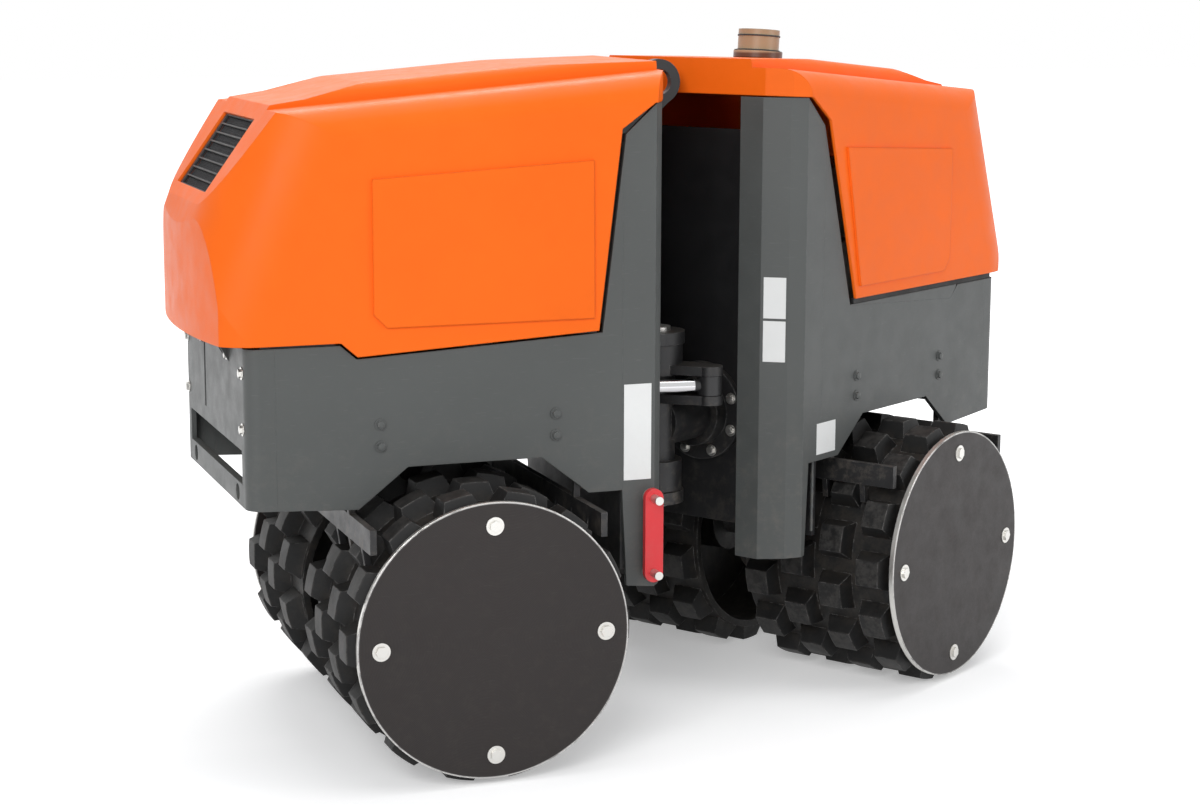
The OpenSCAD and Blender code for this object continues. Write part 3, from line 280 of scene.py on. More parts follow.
def eye_hook(t, colour, roughness, metallic):
    """Black paint on the eye at the end of the steering rod."""
    eye_at = tuple(joints["steering_rod_turn"]["pos_m"])
    eye = t.ramp(t.vector("LENGTH", t.vector("SUBTRACT", t.place, eye_at)), *EYE_R)
    return (t.blend(eye, colour, (0.016, 0.016, 0.017)), t.math("ADD", roughness, t.times(eye, 0.3)),
            t.math("SUBTRACT", metallic, eye))


def receiver_shade_hook(t, colour, roughness, metallic):
    """Painted shade: dark brown on the foot under the tan head, where the head casts a shadow line, with a
    soft edge.
    """
    foot = t.ramp(t.part(t.place, 2), *FOOT_SHADE_Z)
    return t.blend(foot, colour, (0.090, 0.034, 0.012)), roughness, metallic


# Each finish: base colour, roughness, metal, and what differs from the plain surface
FINISHES = {
    "hood_paint": ((0.95, 0.150, 0.008), 0.42, 0.0, dict(
        tone=0.05, grain=420, depth=0.035, dust=0.05, low_dust=0.06, coat=0.04, edge=0.004, specular=0.17)),
    "zinc": ((0.66, 0.65, 0.62), 0.32, 0.9, dict(
        tone=0.12, grain=500, dust=0.15, low_dust=0.15, edge=0.0008)),
    "steel": ((0.36, 0.36, 0.36), 0.38, 0.95, dict(tone=0.12, grain=600, dust=0.1, low_dust=0.1)),
    "rod_chrome": ((0.62, 0.62, 0.63), 0.14, 1.0, dict(
        tone=0.03, grain=700, depth=0.01, dust=0.06, low_dust=0.05, edge=0.001, hook=eye_hook)),
    "black_steel": ((0.015, 0.015, 0.016), 0.45, 0.1, dict(grain=240, wear=0.4, dust=0.12)),
    "black_cast": ((0.020, 0.020, 0.021), 0.58, 0.2, dict(
        tone=0.18, grain=160, depth=0.25, wear=0.3, dust=0.12, edge=0.004)),
    "red_paint": ((0.72, 0.022, 0.030), 0.38, 0.0, dict(
        grain=260, wear=0.35, dust=0.12, low_dust=0.1, coat=0.2)),
    "rubber": ((0.018, 0.018, 0.018), 0.72, 0.0, dict(tone=0.2, grain=380, depth=0.10, dust=0.3)),
    "black_plastic": ((0.026, 0.026, 0.027), 0.55, 0.0, dict(tone=0.1, grain=520, depth=0.08, dust=0.2)),
    "cast": ((0.10, 0.10, 0.105), 0.62, 0.35, dict(
        tone=0.18, grain=160, depth=0.25, wear=0.4, dust=0.3, edge=0.004)),
    "alloy": ((0.50, 0.50, 0.51), 0.42, 0.85, dict(tone=0.1, grain=240, depth=0.12, dust=0.2, edge=0.003)),
    "tank_plastic": ((0.26, 0.25, 0.22), 0.5, 0.0, dict(grain=300, depth=0.12, dust=0.25, edge=0.006)),
    "filter_paint": ((0.70, 0.70, 0.68), 0.3, 0.0, dict(grain=320, dust=0.15, coat=0.2)),
    "hot_steel": ((0.30, 0.28, 0.26), 0.5, 0.8, dict(tone=0.2, grain=200, dust=0.2, hook=heat_hook)),
    "brass": ((0.62, 0.43, 0.16), 0.3, 0.9, dict(grain=500, dust=0.1)),
    "label": ((0.80, 0.81, 0.80), 0.42, 0.0, dict(
        tone=0.04, grain=600, depth=0.02, dust=0.08, low_dust=0.16, edge=0.0006)),
    "weld": ((0.085, 0.09, 0.09), 0.5, 0.2, dict(tone=0.15, grain=900, depth=0.3, dust=0.2)),
    "core": ((0.045, 0.045, 0.048), 0.5, 0.6, dict(tone=0.2, grain=900, depth=0.3, dust=0.2)),
    # The receiver's hook paints shade on the foot of the head.
    "receiver": ((0.36, 0.27, 0.16), 0.36, 0.0, dict(
        tone=0.12, grain=420, depth=0.04, dust=0.12, edge=0.003, hook=receiver_shade_hook)),
    "lens": ((0.34, 0.30, 0.22), 0.2, 0.0, dict(tone=0.1, grain=500, depth=0.02, dust=0.1, coat=0.5)),
}
# Finishes that differ with the half, because their hooks need its axle or its axes
DRUM_LOOK = ((0.0045, 0.0045, 0.0047), 0.55, 0.0, dict(
    tone=0.25, grain=130, depth=0.22, wear=0.34, dust=0.03, low_dust=0.03, edge=0.003, specular=0.35))
COVER_LOOK = ((0.014, 0.0105, 0.010), 0.46, 0.0, dict(
    tone=0.14, grain=200, specular=0.35, depth=0.04, dust=0.02, low_dust=0.02, edge=0.0015, scratches=0.08))
FRAME_LOOK = ((0.074, 0.079, 0.077), 0.48, 0.0, dict(
    tone=0.10, grain=300, depth=0.05, dust=0.14, low_dust=0.14, wear=0.30, bare=(0.3, 0.3, 0.3), coat=0.05,
    edge=0.002, scratches=0.10, specular=0.4))

M = {name: surface(name, *look[:3], **look[3]) for name, look in FINISHES.items()}
for half, (place, _) in HALVES.items():
    spin = joints[half + "_drum_spin"]
    axle = tuple(spin["pos_m"]), tuple(spin["axis"])
    axes = [place.to_3x3() @ Vector(axis) for axis in ((1, 0, 0), (0, 1, 0))]
    # The frame's looks carry the painted shade of the bay through their hook.
    looks = (("_drum", DRUM_LOOK, drum_hook(*axle)), ("_cover", COVER_LOOK, cover_hook(*axle)),
             ("_frame", FRAME_LOOK, bay_shade_hook(*axes)))
    for part, look, hook in looks:
        M[half + part] = surface(half + part + "_paint", *look[:3], **look[3], hook=hook)

OWN_FINISH = {"exhaust_muffler": "hot_steel", "receiver_head": "receiver", "swivel_housing": "black_cast",
              "front_axle_case": "black_cast", "rear_axle_case": "black_cast"}
slots = {s["node"]: s["material_slot"] for s in frame["record"]["subparts"]}
for name, obj in frame["nodes"].items():
    finish = OWN_FINISH.get(name, slots[name])
    if finish in ("drum_paint", "cover_paint", "frame_paint"):
        finish = ("front_" if name.startswith("front") else "rear_") + finish.removesuffix("_paint")
    obj.data.materials.clear()
    obj.data.materials.append(M[finish])


# ---------------- pieces
SHARP_FROM = math.radians(35)


def link(name, mesh, place, body, finish, smooth=True, sharp=False):
    """An object for a mesh made in its own place's coordinates, riding on a CAD body."""
    mesh.transform(place)
    for polygon in mesh.polygons:
        polygon.use_smooth = smooth
    if sharp:
        mesh.set_sharp_from_angle(angle=SHARP_FROM)
    obj = bpy.data.objects.new(name, mesh)
    scene.collection.objects.link(obj)
    mesh.materials.clear()
    mesh.materials.append(M[finish])
    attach(obj, body)


def piece(name, place, body, finish, smooth=True):
    """Makes one visual piece from the bmesh builder that it stands over."""
    def make(build):
        mesh = bpy.data.meshes.new(name)
        shape = bmesh.new()
        build(shape)
        bmesh.ops.recalc_face_normals(shape, faces=shape.faces)
        shape.to_mesh(mesh)
        shape.free()
        link(name, mesh, place, body, finish, smooth, sharp=smooth)
        return build
    return make


def brick(shape, low, high):
    """A box between two corners."""
    lo, hi = Vector(low), Vector(high)
    made = bmesh.ops.create_cube(shape, size=1)
    bmesh.ops.transform(shape, verts=made["verts"],
                        matrix=move((lo + hi) / 2) @ Matrix.Diagonal((*(hi - lo), 1)))


def slab(shape, loop, near, far):
    """A side outline in x and z, made wide along y."""
    ends = [[shape.verts.new((x, y, z)) for x, z in loop] for y in sorted((near, far))]
    shape.faces.new(ends[0])
    shape.faces.new(ends[1][::-1])
    for i in range(len(loop)):
        j = (i + 1) % len(loop)
        shape.faces.new((ends[0][j], ends[0][i], ends[1][i], ends[1][j]))


def hoop(shape, sections):
    """Faces between neighbouring sections, and between the last one and the first."""
    for i, section in enumerate(sections):
        following = sections[(i + 1) % len(sections)]
        for k in range(len(section)):
            j = (k + 1) % len(section)
            shape.faces.new((section[k], section[j], following[j], following[k]))


def rod(shape, start, end, radius, sides=32, end_radius=None):
    """A cylinder or cone between two points."""
    a, b = Vector(start), Vector(end)
    way = b - a
    made = bmesh.ops.create_cone(shape, cap_ends=True, segments=sides, radius1=radius,
                                 radius2=radius if end_radius is None else end_radius, depth=way.length)
    turned = way.to_track_quat("Z", "Y").to_matrix().to_4x4()
    bmesh.ops.transform(shape, verts=made["verts"], matrix=move((a + b) / 2) @ turned)


def stack(shape, x, y, heights, *sizes):
    """Upright rods on one another between the heights; each size is a radius and a number of sides."""
    for low, high, (radius, sides) in zip(heights, heights[1:], sizes):
        rod(shape, (x, y, low), (x, y, high), radius, sides)


WASHER_T, WASHER_WIDER, CROWN_T = 0.0016, 1.45, 0.0006


def hexbolt(shape, at, normal, size=0.009, height=0.006, washer=True):
    """A hexagon head on a washer; at is the seat and normal points out of it."""
    a, n = Vector(at), Vector(normal).normalized()
    foot, top = a + n * WASHER_T, a + n * (WASHER_T + height)
    if washer:
        rod(shape, a, foot, size * WASHER_WIDER, 28)
    rod(shape, foot, top, size, 6)
    rod(shape, top, a + n * (WASHER_T + CROWN_T + height), size * 0.8, 24, size * 0.6)


def tube(name, points, radius, place, body, finish, knobs=0.0):
    """A round tube along a smooth path through points."""
    curve = bpy.data.curves.new(name, "CURVE")
    curve.dimensions = "3D"
    curve.bevel_depth = radius
    curve.bevel_resolution = 5
    curve.resolution_u = 10
    curve.use_fill_caps = True
    line = curve.splines.new("BEZIER")
    line.bezier_points.add(len(points) - 1)
    for knot, point in zip(line.bezier_points, points):
        knot.co = point
        knot.handle_left_type = knot.handle_right_type = "AUTO"
        knot.radius = 1 + (random.uniform(-knobs, knobs) if knobs else 0)
    holder = bpy.data.objects.new(name + "_curve", curve)
    scene.collection.objects.link(holder)
    bpy.context.view_layer.update()
    mesh = bpy.data.meshes.new_from_object(holder.evaluated_get(bpy.context.evaluated_depsgraph_get()))
    bpy.data.objects.remove(holder)
    mesh.name = name
    link(name, mesh, place, body, finish)


BEAD_R, BEAD_STEP, BEAD_RIPPLE = 0.0032, 0.007, 0.22


def bead(name, start, end, place, body):
    """A weld bead between two points, with its ripples."""
    a, b = Vector(start), Vector(end)
    count = max(6, int((b - a).length / BEAD_STEP))
    points = [a.lerp(b, i / count) for i in range(count + 1)]
    tube(name, points, BEAD_R, place, body, "weld", knobs=BEAD_RIPPLE)


# ---------------- both halves
SIDE_BOLTS = ((0.305, 0.640), (0.635, 0.640), (0.305, 0.600), (0.635, 0.600))
NOSE_X = 0.876
PLATE_BOLT_Y, PLATE_BOLT_Z = 0.245, (0.64, 0.74)
EAR_BOLT_Y, EAR_BOLT_Z = 0.120, (0.755, 0.770)
COVER_BOLTS_R, COVER_WASHER_R, COVER_WASHER_T = 0.209, 0.0165, 0.0018
# Section of the bright rim round a cover: radius and y
RIM_STEPS, RIM_SECTION = 120, ((0.2505, 0.4141), (0.2523, 0.4150), (0.2523, 0.4232), (0.2505, 0.4242))
# Seal strips: both y, the foot, and for each strip both x and the top
SEAL_Y, SEAL_FOOT = (0.2685, 0.2755), 0.7852
SEALS = {"front": ((0.716, 0.850, 0.7895), (0.226, 0.300, 0.7885)), "rear": ((0.290, 0.850, 0.7970),)}
# Slanting edge of the columns: x at its foot and at its top, and both heights
EDGE_FOOT, EDGE_TOP, EDGE_Z = {"front": 0.2125, "rear": 0.2735}, 0.170, (0.800, 1.145)
# Rubber profile behind that edge: both x from the edge and both depths from the side
EDGE_SECTIONS = ((-0.012, 0.017, 0.0150, 0.0240), (-0.012, -0.001, 0.0101, 0.0150))
# Louvre on the hood's nose: its foot and its lean, then what sits behind it
LOUVRE_FOOT, LOUVRE_LEAN = (0.940, 0, 1.006), math.atan2(0.140, 0.195)
SCREW_Y, SCREW_Z, SCREW_X = 0.136, (0.060, 0.130, 0.200), (-0.0065, -0.0125)
WIRE_R, WIRE_PITCH, FIRST_WIRE_Y, FIRST_WIRE_Z = 0.0008, 0.009, -0.117, 0.059
UPRIGHT_WIRES, UPRIGHT_WIRE_X, UPRIGHT_WIRE_Z = 27, -0.0125, (0.056, 0.206)
LEVEL_WIRES, LEVEL_WIRE_X, LEVEL_WIRE_Y = 17, -0.0135, 0.118
BACKING = (-0.0200, -0.122, 0.050), (-0.0150, 0.122, 0.212)
# Weld beads: y, then x and both heights of each one
BEAD_Y, BEADS = 0.2655, (("wall", 0.1645, 0.345, 1.120), ("bar", 0.8615, 0.500, 0.536))
DRAIN_Z, DRAIN_R = (0.1075, 0.115), 0.013
FILLER_X, FILLER_Y, FILLER_Z, FILLER_R = 0.06, (0.0495, 0.058), 0.20, 0.009
FLANGE_X, FLANGE_Y, FLANGE_Z = 0.125, 0.160, 0.556

for half, (place, chassis) in HALVES.items():
    hood, drums = half + "_hood", half + "_drums"

    # Bolts and washers
    @piece(half + "_side_bolts", place, chassis, half + "_frame")
    def side_bolts(shape):
        for side in SIDES:
            for x, z in SIDE_BOLTS:
                hexbolt(shape, (x, side * SIDE, z), (0, side, 0), 0.0075, 0.005)

    @piece(half + "_nose_bolts", place, chassis, "zinc")
    def nose_bolts(shape):
        for side in SIDES:
            for z in PLATE_BOLT_Z:
                hexbolt(shape, (NOSE_X, side * PLATE_BOLT_Y, z), (1, 0, 0), 0.008, 0.005)
            for z in EAR_BOLT_Z:
                hexbolt(shape, (NOSE_X, side * EAR_BOLT_Y, z), (1, 0, 0), 0.006, 0.004)

    @piece(half + "_cover_washers", place, drums, "zinc")
    def cover_washers(shape):
        for side in SIDES:
            for x, z in around(4, COVER_BOLTS_R):
                centre = Vector((AXLE_X + x, side * COVER_Y, AXLE_Z + z))
                rod(shape, centre, centre + Vector((0, side * COVER_WASHER_T, 0)), COVER_WASHER_R)

    @piece(half + "_cover_rims", place, drums, "zinc")
    def cover_rims(shape):
        for side in SIDES:
            hoop(shape, [[shape.verts.new((AXLE_X + r * x, side * y, AXLE_Z + r * z)) for r, y in RIM_SECTION]
                         for x, z in around(RIM_STEPS)])

    # Seal strips between frame and hood
    @piece(half + "_seals", place, chassis, "rubber")
    def seals(shape):
        for side in SIDES:
            y0, y1 = sorted(side * y for y in SEAL_Y)
            for x0, x1, top in SEALS[half]:
                brick(shape, (x0, y0, SEAL_FOOT), (x1, y1, top))

    # Rubber profile inside the column's edge, which closes the gap to the hood
    @piece(half + "_edge_profiles", place, chassis, "rubber", smooth=False)
    def edge_profiles(shape):
        foot, top = EDGE_FOOT[half], EDGE_TOP
        for side in SIDES:
            for back, front, near, far in EDGE_SECTIONS:
                slab(shape, ((foot + back, EDGE_Z[0]), (foot + front, EDGE_Z[0]),
                             (top + front, EDGE_Z[1]), (top + back, EDGE_Z[1])),
                     side * (SIDE - near), side * (SIDE - far))

    # Screws that hold the louvre, and the mesh and the backing behind it
    nose = place @ move(LOUVRE_FOOT) @ rotate(-LOUVRE_LEAN, 4, "Y")

    @piece(half + "_louvre_screws", nose, hood, "zinc")
    def louvre_screws(shape):
        for side in SIDES:
            for z in SCREW_Z:
                rod(shape, *((x, side * SCREW_Y, z) for x in SCREW_X), 0.004, 20)

    @piece(half + "_grille_mesh", nose, hood, "core", smooth=False)
    def mesh_wires(shape):
        for i in range(UPRIGHT_WIRES):
            y = FIRST_WIRE_Y + i * WIRE_PITCH
            rod(shape, *((UPRIGHT_WIRE_X, y, z) for z in UPRIGHT_WIRE_Z), WIRE_R, 6)
        for i in range(LEVEL_WIRES):
            z = FIRST_WIRE_Z + i * WIRE_PITCH
            rod(shape, *((LEVEL_WIRE_X, side * LEVEL_WIRE_Y, z) for side in SIDES), WIRE_R, 6)

    @piece(half + "_grille_backing", nose, hood, "core")
    def backing(shape):
        brick(shape, *BACKING)

    for side, hand in zip(SIDES, ("right", "left")):
        for part, x, z0, z1 in BEADS:
            y = side * BEAD_Y
            bead(f"{half}_{hand}_{part}_bead", (x, y, z0), (x, y, z1), place, chassis)

    # Drain plug and filler plugs of the axle case, and its flange bolts
    @piece(half + "_plugs", place, chassis, "zinc")
    def plugs(shape):
        rod(shape, *((AXLE_X, 0, AXLE_Z - drop) for drop in DRAIN_Z), DRAIN_R, 6)
        for side in SIDES:
            rod(shape, *((AXLE_X + side * FILLER_X, y, AXLE_Z + FILLER_Z) for y in FILLER_Y), FILLER_R, 6)

    @piece(half + "_flange_bolts", place, chassis, "zinc")
    def flange_bolts(shape):
        for end in SIDES:
            for side in SIDES:
                hexbolt(shape, (AXLE_X + end * FLANGE_X, side * FLANGE_Y, FLANGE_Z), (0, 0, -1), 0.010, 0.007)


# Sill under the straight edge of the rear hood: side outline, and both depths from the side
SILL = ((0.270, 0.786), (0.270, 0.782), (0.677, 0.757), (0.700, 0.782), (0.700, 0.786))
SILL_DEPTH = (0.0099, 0.0001)


@piece("rear_sill", *REAR_BAY, "rear_frame", smooth=False)
def sill(shape):
    for side in SIDES:
        slab(shape, SILL, *(side * (SIDE - depth) for depth in SILL_DEPTH))


# ---------------- blank plates where the photo shows stickers
PLATE_T, STICKER_T = 0.0007, 0.0008
# Folded face of the rear column: its foot, and the fold from run and rise
FOLD_FOOT, FOLD = (0.070, -0.200, 0), math.atan2(0.050, 0.022)


@piece("front_blank_plate", *FRONT_BAY, "label")
def front_plate(shape):
    brick(shape, (0.118, SIDE, 0.506), (0.172, SIDE + PLATE_T, 0.686))


@piece("rear_blank_plate", *REAR_BAY, "label")
def rear_plate(shape):
    brick(shape, (0.160, -SIDE - PLATE_T, 0.500), (0.228, -SIDE, 0.562))


corner = REAR @ move(FOLD_FOOT) @ rotate(-FOLD, 4, "Z")


@piece("rear_corner_plates", corner, "rear_chassis", "label")
def corner_plates(shape):
    for low, high in ((0.775, 0.855), (0.690, 0.770)):
        brick(shape, (0.006, -STICKER_T, low), (0.050, 0.0, high))


# ---------------- articulation and receiver head
SWIVEL_X, SWIVEL_Z, SWIVEL_R = 0.151, 0.560, 0.085
YOKE_X, YOKE_Y, YOKE_Z = 0.155, 0.086, (0.376, 0.448, 0.694, 0.766)
NIPPLE_X, NIPPLE_Z = (-0.053, -0.060, -0.064), (0.455, 0.690)
ROOF_Z, ROOF_SLOPE, HEAD_PLACE = 1.262, math.radians(4.9), (0.345, 0, 0.030)
HEAD_BANDS = ((0.0145, 0.0175, 0.0445), (0.0440, 0.0470, 0.0435))
HEAD_SCREWS_R = 0.0465


@piece("swivel_bolts", *REAR_BAY, "zinc")
def swivel_bolts(shape):
    for y, z in around(8, SWIVEL_R, math.pi / 8):
        hexbolt(shape, (SWIVEL_X, y, SWIVEL_Z + z), (-1, 0, 0), 0.008, 0.006)


@piece("yoke_bolts", *FRONT_BAY, "zinc")
def yoke_bolts(shape):
    for z in YOKE_Z:
        for side in SIDES:
            hexbolt(shape, (YOKE_X, side * YOKE_Y, z), (-1, 0, 0), 0.008, 0.006)


@piece("knuckle_nipples", REAR, "knuckle", "brass")
def nipples(shape):
    seat, neck, tip = NIPPLE_X
    for z in NIPPLE_Z:
        rod(shape, (seat, 0, z), (neck, 0, z), 0.004, 12)
        rod(shape, (neck, 0, z), (tip, 0, z), 0.0022, 12)


roof = REAR @ move((0, 0, ROOF_Z)) @ rotate(ROOF_SLOPE, 4, "Y")
head = roof @ move(HEAD_PLACE)


@piece("receiver_trim", head, "rear_hood", "black_plastic")
def receiver_trim(shape):
    """Two bands round the head and the screws of its foot."""
    for low, high, radius in HEAD_BANDS:
        rod(shape, (0, 0, low), (0, 0, high), radius, 48)
    for x, y in around(4, HEAD_SCREWS_R, math.pi / 4):
        rod(shape, (x, y, 0.0140), (x, y, 0.0165), 0.0028, 12)


@piece("receiver_lens", head, "rear_hood", "lens")
def receiver_lens(shape):
    rod(shape, (0, 0, 0.0560), (0, 0, 0.0585), 0.034, 48, 0.030)


# ---------------- engine bay, under the front hood
rocker_low, rocker_high = span("rocker_cover", FRONT)
shroud_low, shroud_high = span("fan_shroud", FRONT)
pot_low, pot_high = span("exhaust_muffler", FRONT)
cleaner_low, cleaner_high = span("air_cleaner", FRONT)
core_low, core_high = span("radiator", FRONT)
fan_low, fan_high = span("cooling_fan", FRONT)
hoses_low, hoses_high = span("pressure_hoses", FRONT)
pump_top = span("hydraulic_pump", FRONT)[1].z
FLOOR_Z = core_low.z
BLOCK_OUT = shroud_low.x - 0.076
BLOCK_HALF = 0.105
FAN_Z = (fan_low.z + fan_high.z) / 2
# Belt drive: y and z of the axes, then the radius of each pulley
CRANK, ALTERNATOR = (0.0, FLOOR_Z + 0.085), (0.146, FLOOR_Z + 0.185)
PULLEYS = (((0.0, FAN_Z), 0.048), (CRANK, 0.060), (ALTERNATOR, 0.030))
# Section of a pulley: x from the block, and how far it is cut in
PULLEY_SECTION = ((0.006, 0), (0.010, 0), (0.016, 0.006), (0.022, 0), (0.026, 0))
PULLEY_BACK, PULLEY_FACE = 0.006, 0.026
BELT_STEPS, BELT_SUNK = 72, 0.001
BELT_SECTION = ((0.0115, 0.0015), (0.0205, 0.0015), (0.0180, -0.0045), (0.0140, -0.0045))
# Alternator: both x and both radii of its three lengths, then its brackets as both heights and both x
ALTERNATOR_LENGTHS = ((0.006, -0.004, 0.034, 0.040), (-0.004, -0.062, 0.040, 0.040),
                      (-0.062, -0.074, 0.040, 0.028))
ALTERNATOR_BRACKETS = ((0.026, 0.040, -0.060, -0.020), (-0.040, -0.030, -0.050, -0.030))
CYLINDERS = [0.430 + 0.080 * i for i in range(3)]
MANIFOLD_Y, MANIFOLD_ENDS = -0.112, (0.405, 0.615)
POT_Y, POT_Z = pot_low.y + 0.058, (pot_low.z + pot_high.z) / 2
POT_R, PIPE_Y = (pot_high.z - pot_low.z) / 2, -0.182
CLEANER_Y, CLEANER_Z = cleaner_high.y - 0.063, (cleaner_low.z + cleaner_high.z) / 2
INJECTOR_Y = 0.070
UNIONS, UNION_Y, UNION_Z = [0.555 + 0.025 * i for i in range(3)], BLOCK_HALF + 0.020, 0.806
RIB_X, RIB_HALF, RIB_Z = [0.400 + 0.075 * i for i in range(4)], 0.004, ((0.700, 0.745), (0.868, 0.922))
HOUSING_X, HOUSING_Z, HOUSING_R = 0.330, 0.790, 0.088
CAP_Y, UPRIGHT_FINS, LEVEL_FINS = -0.130, 62, 15
LIP_STEPS, LIP_WIDER, LIP_R = 96, 0.013, 0.0032
SHROUD_Y, SHROUD_Z = 0.198, (shroud_low.z + 0.012, shroud_low.z + 0.220, shroud_high.z - 0.012)


def on_block(y, z, x=0.0):
    """A point on the engine's outer end, x out of it."""
    return BLOCK_OUT + x, y, z


@piece("belt_pulleys", *FRONT_BAY, "zinc")
def pulleys(shape):
    for (y, z), radius in PULLEYS:
        for (x0, cut0), (x1, cut1) in zip(PULLEY_SECTION, PULLEY_SECTION[1:]):
            rod(shape, on_block(y, z, x0), on_block(y, z, x1), radius - cut0, 48, radius - cut1)
    rod(shape, on_block(*CRANK), on_block(*CRANK, PULLEY_BACK), 0.024, 32)
    hexbolt(shape, on_block(*CRANK, PULLEY_FACE), (1, 0, 0), 0.011, 0.008)
    hexbolt(shape, on_block(*ALTERNATOR, PULLEY_FACE), (1, 0, 0), 0.008, 0.006)


def outline_of(points):
    """Convex outline round points, counterclockwise."""
    points = sorted(points, key=lambda p: (p.x, p.y))

    def chain(sequence):
        line = []
        for p in sequence:
            while len(line) > 1 and (line[-1] - line[-2]).cross(p - line[-2]) <= 1e-9:
                line.pop()
            line.append(p)
        return line[:-1]
    return chain(points) + chain(points[::-1])


@piece("fan_belt", *FRONT_BAY, "rubber")
def belt(shape):
    """V-belt round the pulleys: arcs on the outside of each one, joined by straight runs."""
    loop = outline_of([Vector((y + dy, z + dz)) for (y, z), radius in PULLEYS
                       for dy, dz in around(BELT_STEPS, radius - BELT_SUNK)])
    sections = []
    for i, point in enumerate(loop):
        way = (loop[(i + 1) % len(loop)] - loop[i - 1]).normalized()
        out = Vector((way.y, -way.x))
        sections.append([shape.verts.new(on_block(*(point + out * r), x)) for x, r in BELT_SECTION])
    hoop(shape, sections)


@piece("alternator", *FRONT_BAY, "alloy")
def alternator(shape):
    y, z = ALTERNATOR
    for x0, x1, r0, r1 in ALTERNATOR_LENGTHS:
        rod(shape, on_block(y, z, x0), on_block(y, z, x1), r0, 40, r1)
    for dy, dz in around(10, 0.0395):
        rod(shape, on_block(y + dy, z + dz, -0.010), on_block(y + dy, z + dz, -0.056), 0.0028, 8)
    for low, high, x0, x1 in ALTERNATOR_BRACKETS:
        brick(shape, on_block(BLOCK_HALF - 0.004, z + low, x0), on_block(y, z + high, x1))


@piece("exhaust_manifold", *FRONT_BAY, "hot_steel")
def manifold(shape):
    """Three flanged pipes that meet in front of the silencer."""
    z = rocker_low.z - 0.028
    for x in CYLINDERS:
        brick(shape, (x - 0.026, -0.086, z - 0.022), (x + 0.026, -0.0795, z + 0.022))
        rod(shape, (x, -0.080, z), (x, MANIFOLD_Y, z - 0.014), 0.016, 28)
        for dx in (-0.020, 0.020):
            hexbolt(shape, (x + dx, -0.086, z), (0, -1, 0), 0.005, 0.005, washer=False)
    rod(shape, *((x, MANIFOLD_Y, z - 0.016) for x in MANIFOLD_ENDS), 0.020)
    rod(shape, (0.510, MANIFOLD_Y, z - 0.018), (0.510, -0.126, z - 0.066), 0.018, 28)
    for x in MANIFOLD_ENDS:
        rod(shape, (x - 0.003, MANIFOLD_Y, z - 0.016), (x + 0.003, MANIFOLD_Y, z - 0.016), 0.022)


@piece("silencer_trim", *FRONT_BAY, "hot_steel")
def pot_trim(shape):
    """Folded seams and two straps of the silencer, and the socket of its tail pipe."""
    def band(x, width, radius):
        rod(shape, (x, POT_Y, POT_Z), (x + width, POT_Y, POT_Z), radius, 64)
    for x in (pot_low.x, pot_high.x - 0.006):
        band(x, 0.006, POT_R + 0.003)
    for x in (pot_low.x + 0.050, pot_high.x - 0.072):
        band(x, 0.022, POT_R + 0.0018)
        brick(shape, (x, POT_Y - 0.006, POT_Z + POT_R), (x + 0.022, POT_Y + 0.006, POT_Z + POT_R + 0.016))
    rod(shape, (pot_low.x - 0.030, POT_Y, POT_Z), (pot_low.x, POT_Y, POT_Z), 0.019)


tube("tail_pipe", [(pot_low.x - back, PIPE_Y, z) for back, z in (
    (0.028, 0.900), (0.070, 0.893), (0.096, 0.858), (0.100, 0.780), (0.100, FLOOR_Z + 0.002))],
     0.0175, *FRONT_BAY, "hot_steel")


@piece("cleaner_trim", *FRONT_BAY, "black_plastic")
def cleaner_trim(shape):
    """Ribs, outlet and clips of the air cleaner."""
    x, y, z = cleaner_low.x, CLEANER_Y, CLEANER_Z
    for i in range(6):
        rib = x + 0.045 + 0.034 * i
        rod(shape, (rib, y, z), (rib + 0.006, y, z), 0.0645, 64)
    rod(shape, (x - 0.010, y, z), (x, y, z), 0.040, 48, 0.058)
    for dy, dz in around(3, 0.065, math.pi / 2):
        rod(shape, (x + 0.006, y + dy, z + dz), (x + 0.044, y + dy, z + dz), 0.0045, 12)


tube("intake_snorkel", [(cleaner_high.x + out, y, z) for out, y, z in (
    (-0.002, 0.182, 0.930), (0.030, 0.182, 0.934), (0.060, 0.178, 0.962), (0.066, 0.165, 1.010),
    (0.066, 0.120, 1.042))], 0.030, *FRONT_BAY, "rubber")


@piece("injection_parts", *FRONT_BAY, "zinc")
def injectors(shape):
    """Injectors on the head, and the injection pump on the block's side with its unions."""
    foot = rocker_low.z
    for x in CYLINDERS:
        stack(shape, x, INJECTOR_Y, (foot, foot + 0.026, foot + 0.036), (0.009, 6), (0.006, 20))
    brick(shape, (0.543, BLOCK_HALF - 0.002, 0.756), (0.617, BLOCK_HALF + 0.040, UNION_Z))
    for x in UNIONS:
        stack(shape, x, UNION_Y, (UNION_Z, UNION_Z + 0.016), (0.008, 6))


for i, (x0, x1) in enumerate(zip(UNIONS, CYLINDERS)):
    side = BLOCK_HALF + 0.0045
    tube(f"injection_pipe_{i + 1}", [
        (x0, UNION_Y, 0.820), (x0, UNION_Y, 0.848), (x0, side, 0.875), (x0, side, 0.925),
        (x0, side - 0.012, 0.975), ((x0 + x1) / 2, side - 0.017, 1.015), (x1, 0.082, 1.040),
        (x1, INJECTOR_Y, 1.034)], 0.003, *FRONT_BAY, "zinc")


@piece("rocker_trim", *FRONT_BAY, "black_plastic")
def rocker_trim(shape):
    """Filler cap and bolts of the rocker cover."""
    top = rocker_high.z
    stack(shape, 0.450, 0, (top, top + 0.010, top + 0.022), (0.022, 40), (0.026, 10))
    for x in (0.400, 0.515, 0.630):
        for y in (-0.042, 0.042):
            hexbolt(shape, (x, y, top), (0, 0, 1), 0.007, 0.006)


